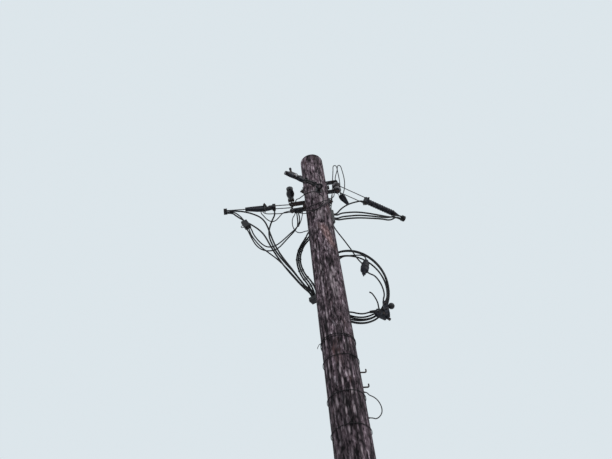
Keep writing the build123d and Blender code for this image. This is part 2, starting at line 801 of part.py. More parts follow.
# Splitter box: a turned body with a cone and a cap at the top and a plug at the foot
box_lean = radians(splitter_tilt)
splitter_axis = Vector(sin(box_lean), 0, cos(box_lean))
splitter_plane = Plane(origin=splitter_foot, x_dir=(cos(box_lean), 0, -sin(box_lean)), z_dir=(0, -1, 0))
with BuildPart() as splitter_box:
    with BuildSketch(splitter_plane):
        with BuildLine():
            Polyline(
                (0, 0),
                (6, 0),
                (6, 22),
                (16, 22),
                (16, 40),
                (splitter_radius, 56),
                (splitter_radius, 90),
                (splitter_radius + 3, 90),
                (splitter_radius + 3, 98),
                (splitter_radius, 98),
                (splitter_radius, 132),
                (20, 144),
                (20, 172),
                (0, 172),
                close=True,
            )
        make_face()
    revolve(axis=Axis(splitter_foot, tuple(splitter_axis)))
splitter_box.part.label = "splitter_box"
export_step(splitter_box.part, "parts/splitter_box.step")

# Tap block on the front of the coil: a sloping body, an upright clamp, a lug and two short necks
tap_back = coil_front - touch_gap
tap_y = tap_back - tap_depth / 2
tap_lean = radians(tap_slope)
tap_run = Vector(cos(tap_lean), 0, -sin(tap_lean))
tap_front_plane = Plane(origin=(tap_x, tap_back, tap_z), x_dir=(1, 0, 0), z_dir=(0, -1, 0))
tap_plane = Plane(origin=(tap_x, tap_back, tap_z), x_dir=tap_run, z_dir=(0, -1, 0))
with BuildPart() as tap_block:
    with BuildSketch(tap_plane):
        RectangleRounded(tap_length, tap_height, 8)
    extrude(amount=tap_depth)
    with BuildSketch(tap_front_plane):
        with Locations((tap_clamp_offset, tap_clamp_rise + tap_clamp_height / 2)):
            RectangleRounded(tap_clamp_width, tap_clamp_height, 5)
    extrude(amount=tap_depth)
    neck_end = tap_x - tap_length / 2 + 0.5
    round_bar(Plane(origin=(neck_end, tap_y, tap_z + tap_arm_rise), z_dir=(1, 0, 0)), tap_neck_radius, 34)
    round_bar(Plane(origin=(tap_x - 6, tap_y, tap_z + 10), z_dir=(0, 0, 1)), tap_neck_radius - 2, 41)
    low_neck = Vector(tap_x, tap_y, tap_z) + tap_run * (tap_length / 3)
    round_bar(Plane(origin=low_neck, z_dir=(0.64, 0, -0.77)), tap_neck_radius, 52)
tap_block.part.label = "tap_block"
export_step(tap_block.part, "parts/tap_block.step")

# Ball on a short neck beside the clamp
neck_start = tap_x + tap_clamp_offset + tap_clamp_width / 2 + seat_gap
with BuildPart() as ball_connector:
    with Locations((neck_start + ball_radius, tap_y, tap_z + ball_rise)):
        Sphere(ball_radius)
    round_bar(Plane(origin=(neck_start, tap_y, tap_z + ball_rise), z_dir=(1, 0, 0)), ball_radius / 2, ball_radius)
ball_connector.part.label = "ball_connector"
export_step(ball_connector.part, "parts/ball_connector.step")

# Tie wires round the pole
with BuildPart() as pole_tie_wires:
    for height in tie_heights:
        ring = pole_radius(height) + tie_wire_radius + touch_gap
        with Locations((0, 0, height)):
            Torus(ring, tie_wire_radius)
pole_tie_wires.part.label = "pole_tie_wires"
export_step(pole_tie_wires.part, "parts/pole_tie_wires.step")


def cord(diameter, points):
    """A round cord that follows hand-set points, with a rounded bend at each of them."""
    corners = [Vector(*point) for point in points]
    bends = []
    for before, corner, after in zip(corners, corners[1:], corners[2:]):
        run_in, run_out = corner - before, after - corner
        turn = radians(run_in.get_angle(run_out))
        bends.append(0.45 * min(run_in.length, run_out.length) / tan(turn / 2))
    with BuildLine() as route:
        FilletPolyline(*points, radius=bends)
    with BuildSketch(Plane(origin=route.line @ 0, z_dir=route.line % 0)) as section:
        Circle(diameter / 2)
    sweep(section.sketch, path=route.line)
    return bends


# Cables and wires: diameter, and the points that each one passes, with Z from the top of the pole
cords = {
    "drip_cable_a": (14, (
        (-809.7, -102.3, -694.9), (-779, -97, -693), (-725, -98, -714), (-671, -93, -725),
        (-614, -85, -747), (-556, -76, -780), (-510, -67, -817), (-477, -56, -869), (-456, -47, -936),
        (-440, -40, -1009), (-422, -33, -1089), (-400, -25, -1167), (-370, -15, -1249), (-331, -3, -1334),
        (-285, 8, -1421), (-242, 21, -1513), (-202, 33, -1587), (-172, 42, -1647), (-139, 45, -1682),
        (-139, 45, -1725.5),
    )),
    "drip_cable_b": (14, (
        (-393.4, -25.3, -675.9), (-391, -25, -715), (-394, -28, -770), (-414, -24, -813),
        (-438, -18, -883), (-453, -12, -950), (-452, -5, -1030), (-432, 2, -1106), (-406, 10, -1187),
        (-370, 18, -1265), (-325, 28, -1348), (-275, 38, -1429), (-234, 50, -1512), (-192, 59, -1589),
        (-131, 61, -1678), (-131.4, 61.3, -1725.5),
    )),
    "drip_cable_c": (14, (
        (-812.2, -82.5, -703.9), (-767, -75, -701), (-734, -82, -756), (-687, -85, -814),
        (-637, -87, -872), (-583, -89, -931), (-530, -90, -997), (-488, -89, -1066), (-459, -86, -1143),
        (-435, -78, -1214), (-405, -62, -1287), (-372, -40, -1354), (-332, -14, -1423), (-287, 14, -1490),
        (-241, 42, -1556), (-200, 62, -1612), (-148, 69, -1678), (-147.7, 68.9, -1725.5),
    )),
    "block_lead_in": (11, (
        (-814.2, -77.8, -686), (-789, -74, -684), (-754, -79, -697), (-720, -86, -742), (-684, -102, -808),
        (-661.3, -122, -868), (-645.1, -122, -905),
    )),
    "block_lead_a": (11, (
        (-629, -122, -999.4), (-615, -122, -1032), (-596, -120, -1096), (-576, -118, -1155),
        (-555, -114, -1209), (-522, -108, -1259), (-482, -103, -1289), (-438, -98, -1297),
        (-397, -91, -1287), (-360, -79, -1248), (-330, -63, -1191), (-297, -47, -1128), (-261, -33, -1066),
        (-227, -21, -1007), (-199, -12, -943), (-194, -5, -868), (-194, 0, -801), (-196, 10, -763),
        (-196, 10, -725.5),
    )),
    "block_lead_b": (11, (
        (-599.7, -122, -986.6), (-586, -122, -1017), (-571, -118, -1080), (-541, -118, -1150),
        (-505, -118, -1215), (-466, -118, -1262), (-422, -116, -1274), (-381, -110, -1253),
        (-341, -99, -1208), (-301, -84, -1148), (-262, -68, -1085), (-223, -55, -1030), (-189, -44, -969),
        (-174, -32, -891), (-174, -20, -816), (-180, 9, -763), (-180, 9, -725.5),
    )),
    "block_lead_c": (11, (
        (-616.2, -131, -993.8), (-603, -131, -1025), (-591, -134, -1091), (-569, -133, -1148),
        (-541, -131, -1206), (-509, -127, -1260), (-470, -121, -1310), (-425, -110, -1358),
        (-381, -94, -1402), (-338, -74, -1455), (-296, -50, -1511), (-254, -22, -1570), (-217, 4, -1621),
        (-183, 19, -1650), (-122.7, 37.4, -1676), (-122.7, 37.4, -1725.5),
    )),
    "tail_wire_left": (9, (
        (-514.6, -37.4, -686.8), (-514, -37, -720), (-490, -54, -778), (-466, -58, -833),
        (-438, -61, -873), (-408, -62, -892), (-378, -60, -877), (-348, -52, -825), (-319, -38, -762),
        (-283, -7, -712), (-247.8, -7, -712),
    )),
    "bond_wire_left": (8, (
        (-498.7, -48.1, -686.7), (-498, -48, -715), (-478, -49, -744), (-446, -51, -762),
        (-404, -50, -767), (-360, -42, -768), (-322, -20, -744), (-281, 6, -712), (-247.8, 6.5, -712),
    )),
    "eye_wire_a": (8, (
        (-208, -5, -725.5), (-208, -5, -763), (-237, -14, -822), (-243, -22, -896), (-239, -32, -968),
        (-222, -42, -1031), (-196, -44, -1065), (-166, -32, -1055), (-140, -5, -1012), (-114.3, -4, -1012),
    )),
    "eye_wire_b": (8, (
        (-146, 8, -725.5), (-146, 8, -759), (-147, -8, -791), (-156, -26, -863), (-170, -46, -938),
        (-189, -64, -1008),
    )),
    "front_jumper_a": (8.5, (
        (-192, -22.5, -613), (-192, -50, -613), (-156, -68, -629), (-124, -88, -624), (-88, -108, -624),
        (-49, -124, -631), (-7, -134, -645), (30, -138, -683), (56, -138, -741), (59, -138, -805),
        (37, -138, -861), (-1, -138, -899), (-46, -134, -906), (-91, -118, -881), (-127, -92, -843),
        (-150, -64, -813), (-165, -38, -798), (-174, -13, -755), (-174, -13, -725.5),
    )),
    "front_jumper_b": (8, (
        (-157, -13, -725.5), (-157, -13, -755), (-133, -46, -770), (-106, -76, -796), (-75, -100, -810),
        (-38, -116, -813), (4, -121, -803), (48, -116, -780), (93, -98, -745), (127, -74, -702),
        (150, -50, -659), (160, -28, -615), (168, -10, -548), (168, -10, -512.5),
    )),
    "front_jumper_c": (8, (
        (-190, -13, -725.5), (-190, -13, -759), (-173, -48, -805), (-146, -76, -854), (-112, -100, -891),
        (-71, -118, -908), (-25, -122, -894), (20, -122, -862), (62, -114, -820), (97, -94, -769),
        (121, -68, -719), (134, -44, -665), (136, -22, -611), (152, -12, -548), (152, -12, -512.5),
    )),
    "strand_tail": (14, (
        (448.6, 181.6, -510.7), (422, 162, -508), (369, 160, -514), (307, 140, -549), (255, 124, -593),
        (207, 114, -642), (176, 108, -690), (156, 101, -718), (137, 92, -730), (120.6, 81.8, -730),
    )),
    "right_cable_a": (15, (
        (128.3, 68.9, -756), (162, 89, -756), (195, 110, -708), (268, 140, -674), (354, 180, -640),
        (452, 232, -616), (559, 292, -598), (668, 358, -575), (729, 403, -532), (782, 441.1, -536.2),
    )),
    "right_cable_b": (15, (
        (120.6, 81.8, -786), (154, 102, -786), (198, 110, -758), (269, 134, -734), (355, 168, -701),
        (449, 216, -673), (555, 274, -646), (662, 334, -614), (744, 376, -529), (799.7, 416.9, -534.2),
    )),
    "right_cable_c": (15, (
        (128.3, 68.9, -820), (162, 89, -820), (205, 110, -793), (284, 142, -759), (373, 184, -724),
        (473, 234, -695), (576, 290, -660), (662, 342, -644), (738, 389, -544), (790.7, 427.7, -548.2),
    )),
    "drop_lead_right": (11, (
        (111.1, 71.4, -878.5), (111, 71, -904), (119, 82, -928), (137, 89, -976), (161, 94, -1036),
        (185, 96, -1097), (206, 97, -1159), (228, 98, -1221), (245, 99, -1282), (262, 103, -1327),
        (280, 112, -1360), (293.4, 112, -1383.4),
    )),
    "back_cable_a": (14, (
        (100.9, 84.5, -746), (84, 113, -746), (52, 142, -760), (4, 154, -770), (-46, 154, -792),
        (-92, 146, -828), (-124, 138, -882), (-150, 131, -948), (-203, 120, -1049), (-241, 110, -1173),
        (-247, 101, -1295), (-220, 95, -1437), (-174, 92, -1538), (-152, 88, -1610), (-140, 85, -1672),
        (-140.1, 85.2, -1725.5),
    )),
    "back_cable_b": (14, (
        (100.9, 84.5, -788), (84, 113, -788), (50, 140, -803), (2, 150, -818), (-46, 148, -846),
        (-88, 138, -888), (-133, 130, -962), (-186, 119, -1056), (-223, 109, -1176), (-229, 101, -1294),
        (-203, 93, -1432), (-157, 86, -1532), (-134, 80, -1612), (-124, 78, -1678),
        (-123.8, 77.6, -1725.5),
    )),
    "back_cable_c": (14, (
        (100.9, 84.5, -830), (84, 113, -830), (50, 140, -846), (4, 152, -865), (-42, 152, -896),
        (-84, 142, -940), (-118, 130, -980), (-169, 120, -1063), (-205, 109, -1179), (-211, 101, -1293),
        (-186, 92, -1427), (-140, 79, -1526), (-116, 72, -1608), (-107, 70, -1676),
        (-107.5, 70, -1725.5),
    )),
    "splitter_feed": (11, (
        (-43.5, 162, -1470), (-18, 162, -1470), (14, 161, -1444), (40, 157, -1388), (66, 152, -1328),
        (94, 147, -1284), (131, 142, -1245), (177, 137, -1241), (222, 131, -1251), (263, 125, -1263),
        (299, 119, -1277), (323, 114, -1297), (334, 112, -1335), (328.1, 112, -1357.8),
    )),
    "splitter_lead": (12, (
        (318.3, 112, -1484.9), (332, 112, -1509), (367, 114, -1531), (390, 117, -1579), (406, 120, -1633),
        (413, 122, -1691), (411, 123, -1749), (392, 127.7, -1788), (392, 127.7, -1817.5),
    )),
    "tap_lead": (12, (
        (-114.8, 85, -1746), (-104, 108, -1746), (-82, 126, -1762), (-46, 135, -1782), (-4, 138, -1804),
        (44, 138, -1828), (92, 137, -1846), (145, 135, -1861), (182, 132, -1884), (226, 129, -1898),
        (272, 127.7, -1890), (304.5, 127.7, -1890),
    )),
    "loose_end": (11, (
        (346, 127.7, -1876.5), (346, 127.7, -1851), (347, 122, -1809), (336, 114, -1769),
        (324, 111, -1736), (313, 110, -1714), (300, 110, -1706),
    )),
    "loop_wire": (8.5, (
        (116.4, 60.6, -705.5), (116, 61, -666), (134, 50, -609), (144, 40, -533), (157, 33, -452),
        (170, 24, -356), (184, 21, -252), (194, 19, -186), (202, 18, -138), (208, 18, -104),
        (215, 18, -82), (229, 18, -82), (236, 18, -104), (239, 19, -142), (241, 21, -198),
        (242, 25, -264), (241, 33, -330), (237, 48, -388), (231, 68, -434), (226.9, 82.5, -472),
        (226.9, 82.5, -505.1),
    )),
    "loop_wire_2": (8.5, (
        (201.7, 0, -351.5), (202, 0, -314), (212, 1, -270), (226, 3, -222), (238, 5, -178),
        (244, 8, -140), (251, 11, -112), (257, 13, -97), (269, 15, -98), (276, 16, -120),
        (281, 18, -160), (287, 22, -214), (290, 30, -274), (288, 46, -332), (279, 68, -388),
        (262, 86, -434), (245.9, 93.6, -470), (245.9, 93.6, -505.7),
    )),
    "hook_wire_a": (7, (
        (119.9, 21.1, -2630), (137, 24, -2630), (150, 42, -2643), (171, 50, -2650), (189, 56, -2664),
        (203, 60, -2684), (213, 63, -2712), (216, 65, -2741), (209, 62, -2771), (190, 56, -2797),
        (164, 46, -2813), (146, 26, -2813), (120.7, 21.3, -2813),
    )),
}

for name, (diameter, points) in cords.items():
    with BuildPart() as cable:
        bend_radii = cord(diameter, [(x, y, pole_height + z) for x, y, z in points])
    cable.part.label = name
    export_step(cable.part, f"parts/{name}.step")
    print(name, "bend radii mm", [round(radius) for radius in bend_radii])
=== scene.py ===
import random
from math import copysign, cos, degrees, exp, hypot, pi, radians, sin

import bmesh
import bpy
from mathutils import Matrix, Vector, noise


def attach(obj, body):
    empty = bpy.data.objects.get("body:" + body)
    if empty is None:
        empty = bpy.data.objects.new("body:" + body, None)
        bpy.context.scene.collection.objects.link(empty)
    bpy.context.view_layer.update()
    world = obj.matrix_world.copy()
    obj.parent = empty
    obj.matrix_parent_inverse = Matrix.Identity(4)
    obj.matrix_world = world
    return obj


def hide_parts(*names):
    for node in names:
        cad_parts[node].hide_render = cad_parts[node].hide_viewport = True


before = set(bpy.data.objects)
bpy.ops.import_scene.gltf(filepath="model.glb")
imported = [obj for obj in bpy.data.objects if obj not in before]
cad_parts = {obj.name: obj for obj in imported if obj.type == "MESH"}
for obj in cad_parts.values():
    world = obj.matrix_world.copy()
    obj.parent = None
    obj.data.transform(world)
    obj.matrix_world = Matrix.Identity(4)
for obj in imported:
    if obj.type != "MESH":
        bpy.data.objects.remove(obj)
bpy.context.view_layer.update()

# Metres. The origin is the middle of the pole at ground level, Z is up and X is to the right.
POLE_TOP = 6.25
TOP_RADIUS = 0.109
TAPER = 0.0091 / 2
# Camera: its place and two of its directions, then the photograph's focal length and width in pixels
CAMERA_PLACE = (0, -3.18163, 1.60662)
CAMERA_RIGHT = Vector((0.98887914, 0.12782651, -0.07601599))
CAMERA_UP = Vector((0.1462792, -0.74373974, 0.65226804))
FOCAL_LENGTH = 560
PHOTO_WIDTH = 612
SENSOR_WIDTH = 36


def pole_radius(height):
    return TOP_RADIUS + (POLE_TOP - height) * TAPER


def linked(name, data):
    made = bpy.data.objects.new(name, data)
    bpy.context.scene.collection.objects.link(made)
    return made


def mesh_data(mesh, name, smooth=False):
    """The mesh of a bmesh, which ends with this."""
    data = bpy.data.meshes.new(name)
    mesh.to_mesh(data)
    mesh.free()
    for polygon in data.polygons:
        polygon.use_smooth = smooth
    return data


def make_camera():
    data = bpy.data.cameras.new("camera")
    data.sensor_width = SENSOR_WIDTH
    data.lens = FOCAL_LENGTH / PHOTO_WIDTH * SENSOR_WIDTH
    data.clip_end = 200
    camera = linked("camera", data)
    turn = Matrix((CAMERA_RIGHT, CAMERA_UP, CAMERA_RIGHT.cross(CAMERA_UP))).transposed().to_4x4()
    camera.matrix_world = Matrix.Translation(CAMERA_PLACE) @ turn
    bpy.context.scene.camera = camera


make_camera()


# Node helpers
def add_node(tree, kind, inputs=None, **settings):
    made = tree.nodes.new(kind)
    for key, value in settings.items():
        setattr(made, key, value)
    for key, value in (inputs or {}).items():
        if isinstance(value, bpy.types.NodeSocket):
            tree.links.new(value, made.inputs[key])
        else:
            made.inputs[key].default_value = value
    return made


def maths(tree, operation, *values):
    return add_node(tree, "ShaderNodeMath", dict(enumerate(values)), operation=operation).outputs[0]


def attribute(tree, name):
    return add_node(tree, "ShaderNodeAttribute", attribute_name=name).outputs["Fac"]


def grey(level):
    return (level, level, level)


def noise_of(tree, size, detail=4.0, roughness=0.6, along=1):
    """A noise in object space; with along under 1 it is stretched up the pole."""
    place = add_node(tree, "ShaderNodeTexCoord").outputs["Object"]
    scaled = add_node(tree, "ShaderNodeMapping", {"Vector": place, "Scale": (1, 1, along)}).outputs["Vector"]
    settings = {"Vector": scaled, "Scale": size, "Detail": detail, "Roughness": roughness}
    return add_node(tree, "ShaderNodeTexNoise", settings).outputs["Fac"]


def ramp(tree, factor, *stops):
    made = add_node(tree, "ShaderNodeValToRGB", {"Fac": factor})
    band = made.color_ramp
    while len(band.elements) < len(stops):
        band.elements.new(0.5)
    for element, (position, colour) in zip(band.elements, stops):
        element.position = position
        element.color = (*colour, 1)
    return made.outputs["Color"]


def fade(tree, factor, low, high, first=0.0, last=1.0):
    """Grey from first to last while the factor goes from low to high."""
    return ramp(tree, factor, (low, grey(first)), (high, grey(last)))


def mix(tree, factor, first, second, blend="MIX"):
    made = add_node(tree, "ShaderNodeMix", data_type="RGBA", blend_type=blend)
    for index, value in ((0, factor), (6, first), (7, second)):
        if isinstance(value, bpy.types.NodeSocket):
            tree.links.new(value, made.inputs[index])
        else:
            made.inputs[index].default_value = value if index == 0 else (*value, 1)
    return made.outputs[2]


def new_material(name):
    material = bpy.data.materials.new(name)
    material.use_nodes = True
    tree = material.node_tree
    return material, tree, tree.nodes["Principled BSDF"]


def finish_shader(tree, shader, base, rough, height, strength, distance):
    normal = add_node(tree, "ShaderNodeBump", {"Height": height, "Strength": strength, "Distance": distance})
    for socket, source in (("Base Color", base), ("Roughness", rough), ("Normal", normal.outputs["Normal"])):
        tree.links.new(source, shader.inputs[socket])


def surface(name, tones, size, roughness, metallic, stain, stain_size, stain_from, bump_size, bump_height,
            coat, specular):
    """Three tones in a noise, a second noise for stains, uneven roughness and a fine bump."""
    material, tree, shader = new_material(name)
    base = ramp(tree, noise_of(tree, size), *zip((0.32, 0.5, 0.68), tones))
    spots = fade(tree, noise_of(tree, stain_size, 6), stain_from, stain_from + 0.12)
    rough = fade(tree, noise_of(tree, size * 2), 0.3, 0.7, *roughness)
    base = mix(tree, spots, base, stain)
    finish_shader(tree, shader, base, rough, noise_of(tree, bump_size, 3), 0.5, bump_height)
    for socket, value in (("Metallic", metallic), ("Coat Weight", coat), ("Specular IOR Level", specular)):
        shader.inputs[socket].default_value = value
    return material


def year_rings(tree, base, broad, spot):
    """The base with year rings, 5.7 mm apart, where the surface faces up."""
    flat = add_node(tree, "ShaderNodeVectorMath", {0: spot["Object"], 1: (1, 1, 0)}, operation="MULTIPLY")
    away = add_node(tree, "ShaderNodeVectorMath", {0: flat.outputs[0]}, operation="LENGTH").outputs["Value"]
    turns = maths(tree, "MULTIPLY_ADD", away, 1100.0, maths(tree, "MULTIPLY", broad, 9.0))
    rings = ramp(tree, maths(tree, "SINE", turns), (0.1, (0.075, 0.06, 0.06)), (0.9, (0.16, 0.135, 0.13)))
    facing = add_node(tree, "ShaderNodeSeparateXYZ", {0: spot["Normal"]}).outputs[2]
    return mix(tree, fade(tree, facing, 0.6, 0.85, 0, 0.8), base, rings)


def wood_material():
    """Weathered softwood: marks and fibres along the pole, pale streaks, a reddish patch, painted shade
    inside the checks, and painted shade and glints from the mesh's layers.
    """
    material, tree, shader = new_material("weathered_wood")
    fibre = noise_of(tree, 150, along=0.04)
    marks = noise_of(tree, 54, 3, 0.62, along=0.36)
    streaks = noise_of(tree, 38, along=0.12)
    broad = noise_of(tree, 9, along=0.2)
    base = ramp(
        tree, marks, (0.385, (0.009, 0.006, 0.008)), (0.45, (0.078, 0.055, 0.065)),
        (0.53, (0.148, 0.108, 0.125)), (0.6, (0.21, 0.16, 0.182)), (0.65, (0.45, 0.375, 0.41)),
    )
    for texture, low, high in ((fibre, 0.5, 1.5), (streaks, 0.36, 1.42), (broad, 0.6, 1.3)):
        base = mix(tree, 1.0, base, fade(tree, texture, 0.36, 0.64, low, high), "MULTIPLY")
    pale = fade(tree, noise_of(tree, 70, 4, 0.65, along=0.12), 0.63, 0.69, 0, 0.75)
    base = mix(tree, pale, base, (0.42, 0.37, 0.4))
    rust = fade(tree, noise_of(tree, 20, 6, 0.7, along=0.2), 0.58, 0.68, 0, 0.6)
    base = mix(tree, rust, base, (0.12, 0.062, 0.056))
    red = ramp(
        tree, marks, (0.37, (0.06, 0.034, 0.032)), (0.5, (0.27, 0.165, 0.16)), (0.62, (0.42, 0.29, 0.285)),
    )
    base = mix(tree, attribute(tree, "patch"), base, red)
    lines = noise_of(tree, 30, 3, along=0.06)
    lines = ramp(tree, lines, (0.475, grey(0)), (0.5, grey(0.9)), (0.525, grey(0)))
    base = mix(tree, lines, base, (0.01, 0.008, 0.009))
    spot = add_node(tree, "ShaderNodeTexCoord").outputs
    # A darker lower part, as in the photograph: from 4.3 m down to 3.3 m
    height = add_node(tree, "ShaderNodeSeparateXYZ", {0: spot["Object"]}).outputs[2]
    lower = add_node(tree, "ShaderNodeMapRange", {0: height, 1: 3.3, 2: 4.3, 3: 0.62, 4: 1.0}).outputs[0]
    base = mix(tree, 1.0, base, lower, "MULTIPLY")
    # From the mesh's layers: painted shade with dark spots, painted glints with pale places, and painted
    # shade inside the checks
    for name, colour, top in (
        ("shade", (0.012, 0.009, 0.011), 0.92), ("light", (0.42, 0.35, 0.37), 0.85),
        ("check", (0.005, 0.004, 0.005), 1.0),
    ):
        base = mix(tree, fade(tree, attribute(tree, name), 0.15, 0.7, 0, top), base, colour)
    base = year_rings(tree, base, broad, spot)
    rough = fade(tree, fibre, 0.3, 0.7, 0.95, 0.75)
    finish_shader(tree, shader, base, rough, maths(tree, "ADD", fibre, marks), 0.9, 0.004)
    shader.inputs["Specular IOR Level"].default_value = 0.15
    return material


# Each finish: its material's name, dark, middle and pale tone, their size, the range of roughness, metallic,
# the stain's colour, size and start, the bump's size and height, coat and specular level
FINISHES = {
    "galvanised": (
        "galvanised_steel", (grey(0.018), (0.04, 0.041, 0.044), (0.13, 0.133, 0.14)), 60,
        (0.36, 0.6), 0.6, (0.042, 0.02, 0.012), 45, 0.53, 200, 0.0004, 0, 0.3,
    ),
    "rusty_steel": (
        "rusty_steel", ((0.012, 0.008, 0.008), (0.035, 0.02, 0.017), (0.085, 0.045, 0.035)), 55,
        (0.65, 0.9), 0.3, (0.018, 0.016, 0.018), 35, 0.5, 260, 0.0007, 0, 0.5,
    ),
    # A paler zinc for painted highlights on small fittings
    "painted_highlight_zinc": (
        "painted_highlight_zinc", (grey(0.09), grey(0.28), (0.52, 0.53, 0.55)), 90,
        (0.3, 0.5), 0.4, (0.2, 0.1, 0.06), 70, 0.54, 200, 0.0004, 0, 0.5,
    ),
    "alloy": (
        "dull_alloy", ((0.006, 0.0062, 0.008), (0.014, 0.0145, 0.019), (0.055, 0.058, 0.07)), 42,
        (0.4, 0.66), 0.35, (0.03, 0.017, 0.014), 38, 0.55, 120, 0.0008, 0, 0.2,
    ),
    "glazed": (
        "glazed_ceramic", ((0.007, 0.0065, 0.008), (0.012, 0.011, 0.0135), (0.022, 0.02, 0.024)), 24,
        (0.16, 0.36), 0, (0.04, 0.036, 0.036), 50, 0.6, 90, 0.0003, 0.08, 0.3,
    ),
    "pale_glaze": (
        "pale_glaze", ((0.02, 0.018, 0.02), (0.09, 0.086, 0.09), (0.42, 0.41, 0.42)), 34,
        (0.2, 0.4), 0, (0.014, 0.011, 0.011), 40, 0.5, 90, 0.0003, 0.3, 0.5,
    ),
    "black_rubber": (
        "black_rubber", (grey(0.004), grey(0.008), (0.018, 0.018, 0.02)), 80,
        (0.55, 0.8), 0, (0.026, 0.024, 0.024), 30, 0.6, 300, 0.0004, 0, 0.3,
    ),
    "black_plastic": (
        "black_plastic", (grey(0.005), (0.009, 0.009, 0.0105), (0.02, 0.02, 0.023)), 50,
        (0.42, 0.65), 0, (0.028, 0.026, 0.026), 28, 0.6, 400, 0.0002, 0, 0.35,
    ),
    "grey_plastic": (
        "grey_plastic", ((0.008, 0.008, 0.011), (0.017, 0.0175, 0.024), (0.05, 0.051, 0.064)), 34,
        (0.45, 0.65), 0, (0.008, 0.007, 0.007), 40, 0.54, 260, 0.0003, 0, 0.22,
    ),
    "black_cable": (
        "black_cable", ((0.003, 0.003, 0.0035), (0.006, 0.006, 0.007), (0.013, 0.0125, 0.014)), 34,
        (0.5, 0.72), 0, (0.022, 0.02, 0.0195), 16, 0.6, 500, 0.0002, 0, 0.25,
    ),
    "wire": (
        "dark_wire", ((0.004, 0.0035, 0.004), (0.008, 0.0075, 0.0085), (0.02, 0.018, 0.02)), 60,
        (0.5, 0.72), 0, (0.026, 0.016, 0.012), 30, 0.6, 500, 0.0002, 0, 0.25,
    ),
}
MATERIALS = {"wood": wood_material(), **{slot: surface(*values) for slot, values in FINISHES.items()}}


def new_piece(name, data, slot, *replaced, material=None):
    piece = linked(name, data)
    data.materials.append(MATERIALS[material or slot])
    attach(piece, "root")
    if replaced:
        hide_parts(*replaced)
    return piece


